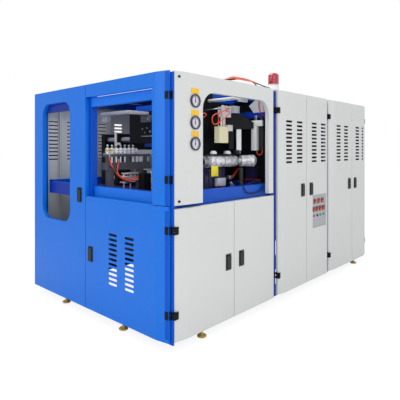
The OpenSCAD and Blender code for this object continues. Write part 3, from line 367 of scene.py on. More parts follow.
@dataclass(frozen=True)
class Rod(Shape):
    """A bar between the middles of its end faces, or a cone when its tip has another radius."""

    start: Point
    end: Point
    radius: float
    sides: int = 24
    round_by: float = 0.8
    tip: float | None = None

    def add(self, bm: bmesh.types.BMesh) -> None:
        """Adds the bar to a mesh."""
        a, b = Vector(self.start), Vector(self.end)
        turn = (b - a).to_track_quat("Z", "Y").to_matrix().to_4x4()
        made = bmesh.ops.create_cone(
            bm, cap_ends=True, segments=self.sides, radius1=self.radius, radius2=self.tip or self.radius,
            depth=(b - a).length, matrix=Matrix.Translation((a + b) / 2) @ turn)["verts"]
        if self.round_by > 0:
            soften(bm, made, min(self.round_by, self.radius * 0.3, (b - a).length * 0.3))


@dataclass(frozen=True)
class Ball(Shape):
    """A ball."""

    centre: Point
    radius: float

    def add(self, bm: bmesh.types.BMesh) -> None:
        """Adds the ball to a mesh."""
        bmesh.ops.create_uvsphere(bm, u_segments=20, v_segments=12, radius=self.radius,
                                  matrix=Matrix.Translation(self.centre))


@dataclass(frozen=True)
class Ring(Shape):
    """A flat ring whose back face is at centre and whose depth runs along axis."""

    centre: Point
    axis: Point
    outer: float
    inner: float
    depth: float
    sides: int = 40

    def add(self, bm: bmesh.types.BMesh) -> None:
        """Spins the ring's section round its axis."""
        matrix = Matrix.Translation(self.centre) @ Vector(self.axis).to_track_quat("Z", "Y").to_matrix().to_4x4()
        corners = [bm.verts.new(matrix @ Vector((r, 0.0, h))) for r, h in (
            (self.inner, 0), (self.outer, 0), (self.outer, self.depth), (self.inner, self.depth))]
        face = bm.faces.new(corners)
        bmesh.ops.spin(bm, geom=[face, *face.edges, *face.verts], cent=Vector(self.centre), axis=Vector(self.axis),
                       angle=2 * math.pi, steps=self.sides, use_merge=True, use_duplicate=False)
        if face.is_valid:
            bmesh.ops.delete(bm, geom=[face], context="FACES_ONLY")


@dataclass(frozen=True)
class Slab(Shape):
    """A flat outline pushed along a vector."""

    points: tuple[Point, ...]
    along: Point
    round_by: float = 0.0

    def add(self, bm: bmesh.types.BMesh) -> None:
        """Adds the slab to a mesh."""
        verts = [bm.verts.new(Vector(p)) for p in self.points]
        face = bm.faces.new(verts)
        pushed = bmesh.ops.extrude_face_region(bm, geom=[face])["geom"]
        moved = [g for g in pushed if isinstance(g, bmesh.types.BMVert)]
        bmesh.ops.translate(bm, verts=moved, vec=Vector(self.along))
        if self.round_by > 0:
            soften(bm, [*verts, *moved], self.round_by)


# A piece's name, its finish and its shapes
Plain = tuple[str, Finish, Sequence[Shape]]


def assemble(body: str, *pieces: Plain) -> None:
    """Builds pieces out of shapes.

    Args:
        body: the CAD body that carries them.
        pieces: the pieces, in the order in which they are built.
    """
    for name, look, shapes in pieces:
        bm = bmesh.new()
        for shape in shapes:
            shape.add(bm)
        for vert in bm.verts:
            vert.co = place(*vert.co)
        bmesh.ops.remove_doubles(bm, verts=bm.verts, dist=1e-6)
        bmesh.ops.recalc_face_normals(bm, faces=bm.faces)
        mesh = bpy.data.meshes.new(name)
        bm.to_mesh(mesh)
        bm.free()
        dress(bpy.data.objects.new(name, mesh), body, look)


def dress(piece: bpy.types.Object, body: str, look: Finish) -> bpy.types.Object:
    """Links a new piece, gives it its finish and makes it ride on a body.

    Args:
        piece: the new object, at the origin, with its place in its mesh.
        body: the CAD body that carries it.
        look: its finish.

    Returns:
        The same object.
    """
    bpy.context.scene.collection.objects.link(piece)
    piece.data.materials.clear()
    piece.data.materials.append(look.material())
    piece.data.shade_smooth()
    piece.data.set_sharp_from_angle(angle=SMOOTH_ANGLE)
    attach(piece, body)
    LOG.info("%s rides on %s: %d faces", piece.name, body, len(piece.data.polygons))
    return piece


def flow(route: Sequence[Point], step: float) -> list[Vector]:
    """Follows a smooth curve through a route's points.

    Args:
        route: points in machine millimetres.
        step: about how far apart the new points lie, in millimetres.

    Returns:
        Points in machine millimetres, the route's own ends among them.
    """
    knots = [Vector(p) for p in route]
    spots = []
    for i in range(len(knots) - 1):
        a, b = knots[max(i - 1, 0)], knots[i]
        c, d = knots[i + 1], knots[min(i + 2, len(knots) - 1)]
        count = max(1, math.ceil((c - b).length / step))
        for u in (k / count for k in range(count)):
            curve = 2 * b + (c - a) * u + (2 * a - 5 * b + 4 * c - d) * u ** 2 + (3 * b - a - 3 * c + d) * u ** 3
            spots.append(0.5 * curve)
    return [*spots, knots[-1]]


@dataclass(frozen=True)
class Hose:
    """A free hose or cable: its route, thickness and what holds it."""

    name: str
    route: tuple[Point, ...]
    radius: float
    look: Finish
    lay: str = "hanging"
    step: float = 9.0
    stands_for: str = ""

    def build(self) -> bpy.types.Object:
        """Sweeps the hose along its route and dresses it.

        Returns:
            The hose, closed at both ends.
        """
        spots = [place(*spot) for spot in flow(self.route, self.step)]
        curve = bpy.data.curves.new(self.name, "CURVE")
        curve.dimensions = "3D"
        curve.bevel_depth = self.radius * MM
        curve.bevel_resolution = 3
        curve.use_fill_caps = True
        spline = curve.splines.new("POLY")
        spline.points.add(len(spots) - 1)
        for point, spot in zip(spline.points, spots):
            point.co = (*spot, 1.0)
        draft = bpy.data.objects.new(self.name + "_draft", curve)
        bpy.context.scene.collection.objects.link(draft)
        bpy.context.view_layer.update()
        mesh = bpy.data.meshes.new_from_object(draft.evaluated_get(bpy.context.evaluated_depsgraph_get()))
        mesh.name = self.name
        bpy.data.objects.remove(draft)
        bpy.data.curves.remove(curve)
        piece = dress(bpy.data.objects.new(self.name, mesh), "machine", self.look)
        2 * self.radius * MM
        if self.stands_for:
            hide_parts(self.stands_for)
        return piece


class NodeFinishes:
    """Gives the carried-over CAD nodes their finishes and softened edges."""

    WELD: float = 0.00002
    EDGE: float = 0.0009
    SHARP: float = 50.0
    # Every node that isn't named here is black plastic
    GROUPS: tuple[tuple[Finish, str], ...] = (
        # The end rails' and the deeper posts' darker blues are painted shade inside the machine.
        (POST_SHADE_BLUE, "frame_posts"), (FRAME_BLUE, "long_rails stretch_frame"), (END_RAIL_SHADE_BLUE, "cross_rails"),
        (ZINC, "levelling_feet electrical_plate"), (DECK_SHADE_PAINT, "deck_plate"),
        (WHITE_PAINT, "arch_panel front_left_door front_right_door oven_left_door oven_right_door"),
        (WHITE_PAINT, "cabinet_left_door cabinet_right_door"),
        (INNER_GREY, "cover_panels oven_bench"), (CONTROL_GREY, "control_plate"),
        (BLUE_PAINT, "end_tall_door end_upper_door end_lower_door"),
        (CLEAR, "beacon_base"), (DOME_RED, "beacon_dome"), (RUBBER, "beacon_cable"), (BEZEL, "gauge_cases"),
        (BLACK_COAT, "hinge_leaves front_platen moving_platen rear_crosshead drive_motor"),
        (STEEL, "tie_bars clamp_cylinder lamp_bank fan_rotor"),
        (ALUMINIUM, "beacon_reflector mould_front mould_rear stretch_head"),
        (ANODISED, "valve_block"), (CREAM, "valve_box"), (DARK_GREY, "conveyor_rail"),
        (BRIGHT_STEEL, "mandrel_carriage"), (FOIL, "insulated_pipe"), (NAVY, "junction_boxes"),
        (RED, "red_button"), (GREEN, "green_button_1 green_button_2"),
    )

    def dress(self) -> None:
        """Assigns the materials and adds a small edge rounding where edges show."""
        looks = {name: look for look, names in self.GROUPS for name in names.split()}
        for name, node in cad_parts.items():
            look = looks.get(name, BLACK_PLASTIC)
            node.data.materials.clear()
            node.data.materials.append(look.material())
            for polygon in node.data.polygons:
                polygon.material_index = 0
            if name != "beacon_cable":
                self.soften(node)
            LOG.info("%s is %s", name, look.name)

    def soften(self, node: bpy.types.Object) -> None:
        """Welds a node's corners and rounds its edges."""
        weld = node.modifiers.new("weld", "WELD")
        weld.merge_threshold = self.WELD
        bevel = node.modifiers.new("bevel", "BEVEL")
        bevel.width = self.EDGE
        bevel.segments = 2
        bevel.limit_method = "ANGLE"
        bevel.angle_limit = math.radians(self.SHARP)


# Lower ends of the two hinges of low, upper and full-height doors
LOW = (246, 843)
HIGH = (1201, 1798)
TALL = (235, 1782)


@dataclass(frozen=True)
class Door:
    """One door's latch frame, hinge covers and trim.

    The pin is the hinge line's x and y. The latch's place runs along the door's side and up. A leaf is the x span of
    flat hinge leaves, and a fold the z span of the folded edge of a blue door's facet.
    """

    name: str
    pin: tuple[float, float]
    hinges: tuple[float, float]
    latch: tuple[float, float] | None = None
    leaf: tuple[float, float] | None = None
    fold: tuple[float, float] | None = None
    at_end: bool = False
    half_width: float = 33.0
    half_tall: float = 65.0
    rim: float = 7.0
    proud: tuple[float, float] = (0.2, 4.2)
    lining: tuple[float, float] = (-11.6, -10.4)
    lining_gap: float = 0.5
    lining_inset: float = 8.0
    leaf_tall: float = 56.0
    knuckle: tuple[float, float] = (19.3, 36.7)
    knuckle_radius: float = 6.25

    def slab(self, across: Sequence[float], out: Sequence[float], up: Sequence[float],
             round_by: float = 1.0) -> Block:
        """A box from its spans across, out of and up the door, as seen from the latch's middle."""
        along, height = self.latch
        side, front = [along + value for value in across], [-value for value in reversed(out)]
        spans = (front if self.at_end else side, side if self.at_end else front, [height + value for value in up])
        return Block(tuple(span[0] for span in spans), tuple(span[1] for span in spans), round_by)

    def latch_frame(self) -> list[Block]:
        """The latch's frame in four bars, and the lining behind its paddle."""
        w, h = self.half_width, self.half_tall
        inner = w - self.rim
        bars = []
        for side in (-1, 1):
            bars.append(self.slab(sorted((side * w, side * inner)), self.proud, (-h, h)))
            bars.append(self.slab((-inner, inner), self.proud, sorted((side * h, side * (h - self.rim)))))
        wide, tall = inner - self.lining_gap, h - self.lining_inset
        return [*bars, self.slab((-wide, wide), self.lining, (-tall, tall), 0.0)]

    def build(self) -> None:
        """Builds what this door has."""
        (x, y), (low, high), leaves = self.pin, self.knuckle, []
        pieces = [(self.name + "_knuckles", BLACK_COAT, [
            Rod((x, y, z + low), (x, y, z + high), self.knuckle_radius, 20) for z in self.hinges])]
        if self.latch:
            pieces.append((self.name + "_frame", BLACK_PLASTIC, self.latch_frame()))
        if self.fold:
            z, top = self.fold
            edge = ((17.6, 39.3, z), (13.0, 68.0, z), (12.4, 68.0, z), (16.9, 39.3, z))
            # The folded edge is the door's own blue paint; its darker frame blue is painted shade.
            pieces.append((self.name + "_fold_painted_shade", FRAME_BLUE, [Slab(edge, (0, 0, top - z))]))
            leaves = [Slab(((16.8, 39.4, z), (12.2, 68.5, z), (9.8, 68.5, z), (14.4, 39.4, z)),
                           (0, 0, self.leaf_tall)) for z in self.hinges]
        elif self.leaf:
            west, east = self.leaf
            for z in self.hinges:
                leaves.append(Block((west, -2.2, z), (east, -0.2, z + self.leaf_tall), 0.6))
                leaves.append(Block((west - 3.6, -2.2, z), (west - 1.6, 14, z + self.leaf_tall), 0.6))
        if leaves:
            pieces.append((self.name + "_leaf", BLACK_COAT, leaves))
        assemble(self.name + "_door", *pieces)


DOORS = (
    Door("end_tall", (26, 2007), TALL, (1157, 1046), at_end=True),
    Door("end_upper", (26, 31), HIGH, fold=(1045, 1990), at_end=True),
    Door("end_lower", (26, 31), LOW, (984, 555), fold=(106, 1010), at_end=True),
    Door("front_left", (50, 6.5), LOW, (640, 540), (52, 82)),
    Door("front_right", (1308, 22), LOW, (811, 540)),
    Door("oven_left", (1388, 22), TALL, (1837, 1033), (1390, 1414)),
    Door("oven_right", (2381, 22), TALL, (2012, 1033)),
    Door("cabinet_left", (2436, 22), TALL, (2962, 1033), (2438, 2464)),
    Door("cabinet_right", (3495, 22), TALL, (3132, 1033)),
)


@dataclass
class Gauges:
    """Dials, bezels, marks and the bare plates above the pressure gauges."""

    x: float = 249.0
    heights: tuple[float, ...] = (1800.0, 1640.0, 1485.0)
    radius: float = 44.0
    plate: tuple[float, float] = (83.0, 40.0)
    plate_rise: float = 72.0
    marks: int = 28
    first_mark: float = 225.0
    mark_step: float = 10.0
    mark_end: float = 37.0

    def build(self) -> None:
        """Builds the three gauges."""
        x, (w, h) = self.x, self.plate
        dials, bezels, ticks, plates = [], [], [], []
        for z in self.heights:
            dials.append(Rod((x, -3.0, z), (x, -4.6, z), self.radius, 40, 0.0))
            bezels.append(Ring((x, -8.4, z), (0, -1, 0), 50.5, 39.5, 3.4, 48))
            ticks += self.scale(z)
            middle = z + self.plate_rise
            plates.append(Block((x - w / 2, -1.6, middle - h / 2), (x + w / 2, 0.2, middle + h / 2), 0.4))
        assemble("machine", ("gauge_dials", DIAL, dials), ("gauge_bezels", BEZEL, bezels),
                 ("gauge_ticks", BLACK_PLASTIC, ticks), ("gauge_plates", YELLOW, plates))

    def scale(self, z: float) -> list[Rod]:
        """The marks round one dial, each third one longer and thicker."""
        rods = []
        for i in range(self.marks):
            turn = math.radians(self.first_mark - i * self.mark_step)
            start, radius = (32.0, 0.9) if i % 3 else (28.0, 1.5)
            a, b = ((self.x + r * math.cos(turn), -4.8, z + r * math.sin(turn)) for r in (start, self.mark_end))
            rods.append(Rod(a, b, radius, 4, 0.0))
        return rods


@dataclass
class Controls:
    """Orange faces of the temperature controllers and the rings of the buttons."""

    row_1: tuple[float, ...] = (2110.0, 2194.0, 2278.0)
    row_2: tuple[float, ...] = (2089.0, 2161.0, 2233.0, 2305.0)
    z_1: float = 894.0
    z_2: float = 811.0
    z_3: float = 740.0
    face: float = 20.0
    display: tuple[float, float, float] = (15.0, 1.0, 13.0)

    def build(self) -> None:
        """Builds the faces, their displays and the button rings."""
        half, (wide, low, high) = self.face, self.display
        spots = [(x, self.z_1) for x in self.row_1] + [(x, self.z_2) for x in self.row_2]
        assemble(
            "oven_right_door",
            ("controller_faces", CONTROLLER_ORANGE, [
                Block((x - half, 1.0, z - half), (x + half, 2.4, z + half), 0.5) for x, z in spots]),
            ("controller_displays", BLACK_PLASTIC, [
                Block((x - wide, 0.4, z + low), (x + wide, 1.2, z + high), 0.3) for x, z in spots]),
            ("button_rings", STEEL, [Ring((x, 9.8, self.z_3), (0, -1, 0), 15, 11.4, 3.5) for x in self.row_2]))


class Cables:
    """Every free hose and cable of the machine."""

    SINGLE: tuple[Hose, ...] = (
        Hose("beacon_lead", (
            (1345, 66, 2016), (1300, 68, 2019), (1240, 70, 2025), (1170, 72, 2034), (1090, 74, 2044), (1010, 74, 2051),
            (930, 72, 2053), (860, 70, 2047), (790, 70, 2034), (720, 70, 2022), (650, 72, 2013), (580, 74, 2004),
            (510, 72, 1996), (450, 70, 1994.5), (390, 70, 1994.5)), 5.0, RUBBER, "loose", 22.0, "beacon_cable"),
        Hose("valve_loop", (
            (985, 300, 1816), (985, 282, 1816), (979, 262, 1815), (960, 246, 1811), (930, 238, 1803), (885, 236, 1788),
            (833, 235, 1771), (788, 236, 1757), (749, 238, 1744), (724, 241, 1722), (722.6, 244, 1689),
            (745, 248, 1664), (779, 251, 1662.6), (816, 252, 1676), (853, 252, 1694), (890, 250, 1718),
            (920, 247, 1741), (943, 243, 1759), (961, 247, 1775), (972, 262, 1786), (976, 281, 1791), (976, 300, 1793)),
            4.5, ORANGE),
        Hose("valve_feed", (
            (938, 322, 1788), (930, 322, 1787.5), (918, 322, 1783.5), (907, 322, 1774.5), (900, 322, 1762),
            (898, 322, 1748), (898, 322, 1700), (898, 322, 1651)), 4.0, ORANGE),
        Hose("gauge_line", (
            (249, 3, 1640), (249, 34, 1640), (262, 60, 1646), (296, 80, 1662), (340, 88, 1686), (388, 90, 1708),
            (434, 90, 1724), (476, 98, 1727), (505, 120, 1718), (514, 152, 1702), (506, 190, 1688), (494, 235, 1678),
            (490, 285, 1673), (500, 335, 1672), (518, 385, 1675), (536, 422, 1680), (545, 446, 1682), (547, 469, 1683)),
            4.0, ORANGE),
        Hose("loop_down", (
            (1193, 92, 1910), (1193, 92, 1880), (1192, 92, 1845), (1197, 92, 1812), (1212, 92, 1788), (1232, 92, 1780),
            (1252, 92, 1788), (1266, 92, 1812), (1270, 92, 1845), (1269, 92, 1880), (1269, 92, 1910)), 3.0, RED),
        Hose("loop_across", (
            (1218, 99, 1910), (1219, 99, 1870), (1223, 101, 1835), (1234, 104, 1805), (1253, 107, 1783),
            (1276, 110, 1768), (1296, 112, 1761), (1309, 112, 1759)), 3.0, RED),
        Hose("duct_loop", (
            (1290, 118, 1446), (1290, 118, 1433), (1289.6, 118.2, 1420), (1289, 122, 1405.5), (1288, 132.5, 1394.9),
            (1287, 147, 1391), (1286, 161.5, 1394.9), (1285.5, 172, 1405.5), (1285, 176, 1420), (1285, 176, 1436)),
            3.5, ORANGE),
        Hose("rail_loop", (
            (1092, 236, 1088), (1112, 222, 1094), (1138, 200, 1108), (1166, 174, 1128), (1196, 144, 1144),
            (1218, 112, 1148), (1226, 84, 1132), (1218, 66, 1106), (1190, 58, 1080), (1145, 56, 1063),
            (1090, 56, 1057), (1035, 56, 1057), (985, 56, 1063), (950, 56, 1080), (934, 61, 1106), (932, 78, 1134),
            (938, 104, 1154), (950, 138, 1164), (966, 172, 1162), (984, 205, 1148), (1000, 236, 1126),
            (1011, 258, 1102)), 5.0, RUBBER),
        Hose("red_feed", (
            (167, 947, 1380), (167.5, 946.5, 1362), (172, 943, 1336), (182, 935, 1300), (196, 923, 1260),
            (216, 906, 1222), (246, 886, 1192), (288, 869, 1173), (332, 859, 1166), (374, 853, 1169), (410, 848, 1182),
            (440, 841, 1202)), 5.0, ORANGE),
        Hose("red_return", (
            (262, 947, 1344), (260.5, 946.5, 1328), (254, 944, 1306), (244, 939, 1278), (236, 930, 1248),
            (240, 915, 1221), (260, 896, 1199), (296, 879, 1185), (338, 869, 1180), (378, 863, 1185), (408, 855, 1198),
            (430, 841, 1214)), 5.0, ORANGE),
        Hose("black_feed", (
            (178, 959, 1292), (178, 946, 1291), (178, 924, 1280), (183, 902, 1253), (198, 884, 1220), (225, 870, 1190),
            (270, 856, 1163), (330, 846, 1150), (388, 843, 1152), (430, 843, 1166), (455, 841, 1184)), 5.5, RUBBER),
    )
    # Ends, top and side of the first arch, and how far each next one is moved
    LEFT: tuple[int, int] = (700, 14)
    RIGHT: tuple[int, int] = (1216, -12)
    TOP: tuple[int, int] = (2064, -6)
    SIDE: tuple[int, int] = (104, -12)
    BEND: float = 47.0
    COUNT: int = 5
    # How far along each arch its points lie, and how far round half a turn each of them is
    ARCH: tuple[tuple[float, float], ...] = (
        (0.22, 0.3), (0.34, 0.45), (0.46, 0.5), (0.58, 0.46), (0.7, 0.36), (0.8, 0.2))

    def bundle(self) -> list[Hose]:
        """The hoses that arch over the front rail, each a little apart from the next."""
        hoses = []
        bend, low = self.BEND, 1987.0
        for i in range(self.COUNT):
            left, right, top, side = (a + b * i for a, b in (self.LEFT, self.RIGHT, self.TOP, self.SIDE))
            span = right - left
            quarter = [math.radians(turn) for turn in (0, 30, 60, 90)]
            rise = [(left + bend * (1 - math.cos(t)), 117 + (side - 117) * 0.4 * t, low + bend * math.sin(t))
                    for t in quarter]
            fall = [(left + right - x, y, z) for x, y, z in reversed(rise)]
            hump = [(left + span * f, side - 4, low + bend + (top - low - bend) * math.sin(math.pi * g))
                    for f, g in self.ARCH]
            route = ((left, 117, 1985), *rise, *hump, *fall, (right, 117, 1985))
            hoses.append(Hose(f"top_hose_{i + 1}", route, 5.0, ORANGE if i % 2 == 0 else PINK))
        return hoses

    def build(self) -> None:
        """Builds every hose; the beacon's lead takes the place of its CAD solid."""
        for hose in (*self.SINGLE, *self.bundle()):
            hose.build()


@dataclass
class BlowingFittings:
    """Small parts round the blowing valves, seen through the arch."""

    # The wrapped pipe's left end, and the outer and inner radius of its bands
    pipe: Point = (730.0, 320.0, 1335.0)
    band: tuple[float, float] = (53.6, 51.0)
    ribs: int = 7
    rib: float = 4.6
    rib_pitch: float = 8.4
    rib_radius: float = 46.0
    band_places: tuple[float, ...] = (6.0, 196.0, 386.0)
    rod_places: tuple[float, ...] = (944.0, 976.0)

    PLAIN: tuple[Plain, ...] = (
        ("hanging_tag", TAG_YELLOW, (Block((757, 283, 1207), (849, 285.2, 1297), 0.6),)),
        ("relay_box", PALE_BOX, (
            Block((862, 300, 1113), (976, 338.6, 1186), 3), Block((872, 297.5, 1124), (966, 300.5, 1130), 0.5),
            Block((872, 297.5, 1142), (966, 300.5, 1148), 0.5))),
        ("relay_knob", RED, (Block((858, 294, 1110), (888, 299.8, 1124), 2),)),
        ("shut_off_valve", STEEL, (
            Block((1020.4, 292, 1168), (1060, 326, 1204), 3), Rod((1042, 292, 1188), (1042, 282, 1188), 9, 20))),
        ("conduit", BLACK_PLASTIC, (Rod((1125, 240, 1081), (1125, 240, 1272), 19, 28),)),
        ("column_foot", BLACK_PLASTIC, (Block((1128, 292, 1402.3), (1176, 330, 1436), 2),)),
        ("red_strip", RED, (Rod((1312.4, 345, 1150), (1312.4, 150, 1158), 3.4, 12),)),
        ("left_manifold", ALUMINIUM, (Block((735, 100.3, 1945), (807, 134, 1986)),)),
        ("right_manifold", ALUMINIUM, (Block((1150, 100.3, 1945), (1222, 134, 1986)),)),
        ("floor_socket", BLACK_PLASTIC, (Block((1066, 228, 1080.3), (1096, 262, 1098), 2),)),
        ("arch_screws", BLACK_COAT, (
            Rod((96, 12, 1961), (96, 3, 1961), 9, 20), Rod((96, 12, 1073), (96, 3, 1073), 9, 20))),
        ("shut_off_lever", DARK_RED, (Slab((
            (1034, 281.5, 1180), (1050, 281.5, 1178), (1142, 281.5, 1258), (1146, 281.5, 1272), (1130, 281.5, 1270),
            (1036, 281.5, 1196)), (0, -5, 0), 1.5),)),
        ("rail_fitting", STEEL, (
            Rod((925, 205, 1150), (985, 205, 1104), 10, 16), Rod((1012, 262, 1081), (1012, 262, 1128), 13, 6),
            Ball((975, 200, 1094), 15), Rod((1012, 262, 1096), (1004, 244, 1118), 9, 16))),
        ("white_duct", WHITE_PAINT, (
            Block((1262, 165, 1434), (1304, 225, 1661)), Block((1262, 103, 1661), (1283, 228, 1715)),
            Block((1283, 152, 1661), (1309.4, 228, 1715)))),
        ("duct_strap", STEEL, (Block((1306, 190, 1715), (1309.7, 220, 1765), 0.5),)),
        ("beam_cover", BLACK_COAT, (Block((541, 466.2, 1891), (985, 469.7, 1989), 0.5),)),
        ("air_sleeve", WHITE_PAINT, (Rod((930, 122, 1893), (930, 467, 1893), 14.5, 28),)),
        ("sensor_pipe", STEEL, (
            Rod((868, 304, 1806), (868, 466, 1801), 5.5, 16), Rod((868, 308, 1806), (933, 326, 1806), 5.5, 16))),
        ("rail_junction", WHITE_PAINT, (Block((964, 138, 1868), (1090, 158, 1900), 2),)),
        ("hose_fittings", STEEL, (
            Rod((985, 300, 1816), (985, 291, 1816), 8, 6), Rod((976, 300, 1792), (976, 291, 1792), 8, 6),
            Rod((934, 322, 1786), (926, 322, 1786), 8, 6), Rod((898, 322, 1650), (898, 322, 1662), 8, 6),
            Rod((547, 469.7, 1683), (547, 458, 1683), 9, 6),
            Rod((167, 959.7, 1389), (167, 942, 1389), 8, 16), Rod((262, 959.7, 1353), (262, 942, 1353), 8, 16),
            Rod((167, 947, 1389), (167, 947, 1378), 7.5, 16), Rod((262, 947, 1353), (262, 947, 1342), 7.5, 16))),
    )

    def build(self) -> None:
        """Builds the plain pieces, and the bellows, bands and elbow that fit the wrapped pipe."""
        x, y, z = self.pipe
        ribs = [x - 60 + i * self.rib_pitch for i in range(self.ribs)]
        assemble(
            "machine", *self.PLAIN,
            ("pipe_bellows", STEEL, [Rod((a, y, z), (a + self.rib, y, z), self.rib_radius, 36) for a in ribs]),
            ("pipe_bands", STEEL, [
                Ring((x + a, y, z), (1, 0, 0), *self.band, 9, 48) for a in self.band_places]),
            ("foil_elbow", FOIL, (Rod((1214, 318, z), (1256, 190, z + 2), 53, 12, 5, 56),
                                  Rod((1254.5, 194, z + 2), (1260, 172, z), 55, 9, 3, 36))),
            ("box_rods", ANODISED, [Rod((a, 330, 1650), (a, 330, 1742), 7, 16) for a in self.rod_places]))


@dataclass
class PreformFittings:
    """Nuts, springs, plates and brackets round the preform line, seen through the blue end's opening."""

    first_x: float = 182.0
    pitch: float = 47.0
    count: int = 7
    brass_count: int = 2
    line_y: float = 1000.0
    base_z: float = 1409.0
    # Height over the base, outer radius and depth of the seals
    seals: tuple[Point, ...] = ((52, 12.5, 7), (63, 11.5, 4))
    knob_x: float = 505.0
    spring_x: float = 212.0
    spring_y: float = 978.0
    spring_gap: float = 405.0
    # Places across the clamp's side, heights and radii of its small fittings
    side_spots: tuple[Point, ...] = (
        (837, 1722, 9), (938, 1634, 8), (873, 1640, 8), (828, 1607, 10), (905, 1600, 6))

    PLAIN: tuple[Plain, ...] = (
        ("white_bracket", WHITE_PAINT, (
            Block((290, 1040.4, 1270), (310, 1047, 1603), 1), Block((310, 1040.4, 1484), (352, 1047, 1506), 1))),
        ("transfer_plates", BRIGHT_STEEL, (
            Block((300, 886, 1222), (440, 956, 1234), 1), Block((262, 886, 1196), (405, 956, 1207), 1),
            Block((280, 886, 1144), (400, 956, 1156), 1), Rod((310, 935, 1080.3), (310, 935, 1234), 7, 16),
            Rod((384, 935, 1080.3), (384, 935, 1234), 7, 16))),
        ("lift_cylinder", WHITE_PAINT, (
            Rod((508, 792, 1080.3), (508, 792, 1225), 20, 28), Rod((508, 792, 1225), (508, 792, 1246), 9, 16),
            Block((486, 770, 1080.3), (530, 814, 1090), 1))),
        ("transfer_arm", INNER_GREY, (
            Block((300, 860, 1762), (539.7, 930, 1790), 2), Block((300, 930, 1762), (372, 1290, 1790), 2),
            Block((312, 1200, 1700), (360, 1280, 1762), 2))),
        ("sensor_box", DARK_GREY, (Block((510, 806, 1694), (539.6, 944, 1756), 2),)),
    )

    def knurled(self, centre: Point, outer: float, inner: float, height: float) -> list[Shape]:
        """A knurled ring nut.

        Args:
            centre: middle of its lower face.
            outer: radius over the knurls.
            inner: radius of its bore.
            height: height of the nut.

        Returns:
            The ring and its knurls.
        """
        x, y, z = centre
        shapes = [Ring(centre, (0, 0, 1), outer - 1.6, inner, height, 36)]
        for k in range(18):
            turn = k * math.pi / 9
            spot = (x + (outer - 2.2) * math.cos(turn), y + (outer - 2.2) * math.sin(turn))
            shapes.append(Rod((*spot, z + 1.5), (*spot, z + height - 1.5), 2.6, 6, 0.0))
        return shapes

    def mandrels(self) -> None:
        """Builds what travels with the carriage: ring nuts, seals and the knob."""
        brass, silver, tips = [], [], []
        y, z = self.line_y, self.base_z
        for i in range(self.count):
            x = self.first_x + i * self.pitch
            nuts = brass if i < self.brass_count else silver
            nuts += [*self.knurled((x, y, z + 9), 22, 12.3, 15), *self.knurled((x, y, z + 27), 21, 17.2, 15)]
            tips += [Ring((x, y, z + up), (0, 0, 1), radius, 9.2, tall, 24) for up, radius, tall in self.seals]
        x = self.knob_x
        knob = (*self.knurled((x, y, z + 9), 16, 7, 26), Rod((x, y, z + 1), (x, y, z + 46), 6.5, 20))
        assemble("mandrel_carriage", ("brass_nuts", BRASS, brass), ("steel_nuts", BRIGHT_STEEL, silver),
                 ("mandrel_seals", BLACK_PLASTIC, tips), ("clamp_knobs", BRIGHT_STEEL, knob))

    def springs(self) -> list[Rod]:
        """The row of springs under the rail, but for the one place that the bracket takes."""
        row = []
        y = self.spring_y
        for x in (self.spring_x + i * self.pitch for i in range(8)):
            if abs(x - self.spring_gap) > self.pitch / 2:
                row += [Rod((x, y, 1328 + k * 10), (x, y, 1334 + k * 10), 13 - (k % 2) * 3, 16, 0.6)
                        for k in range(5)]
                row.append(Rod((x, y, 1326), (x, y, 1378), 7, 12, 0.0))
        return row

    def build(self) -> None:
        """Builds the fittings that travel with the carriage and those that stand still."""
        self.mandrels()
        side = [Rod((539.6, y, z), (524 if z < 1690 else 503, y, z), r, 12) for y, z, r in self.side_spots]
        side.append(Block((528, 806, 1562), (539.6, 960, 1570), 1))
        assemble("machine", ("spring_row", BRIGHT_STEEL, self.springs()), *self.PLAIN,
                 ("side_fittings", STEEL, side))


@dataclass
class Shell:
    """Plain sheets on the machine's own hidden sides: a navy sheet of painted shade over the clamp's rear end, and dark
    blades in the rear slots.
    """

    columns: tuple[float, ...] = (210.0, 421.0, 813.0)
    slots: int = 11
    first_slot: float = 1340.0
    slot_pitch: float = 39.4
    half_width: float = 53.0
    half_tall: float = 8.5

    def build(self) -> None:
        """Builds the navy sheet of painted shade over the clamp's rear end and the dark blades in the rear slots."""
        # The navy sheet stands where the clamp's rear end lies in shade, and stands in for that shade: painted shade.
        shade_sheet = Block((640, 1480, 1990.3), (1309, 1912, 1992.3), 0.4)
        w, h = self.half_width, self.half_tall
        heights = [self.first_slot + k * self.slot_pitch for k in range(self.slots)]
        blades = [Block((x - w, 2012.9, z - h), (x + w, 2013.7, z + h), 0.0) for x in self.columns for z in heights]
        assemble("machine", ("rear_shade_sheet", NAVY, (shade_sheet,)), ("louvre_blades", NAVY, blades))


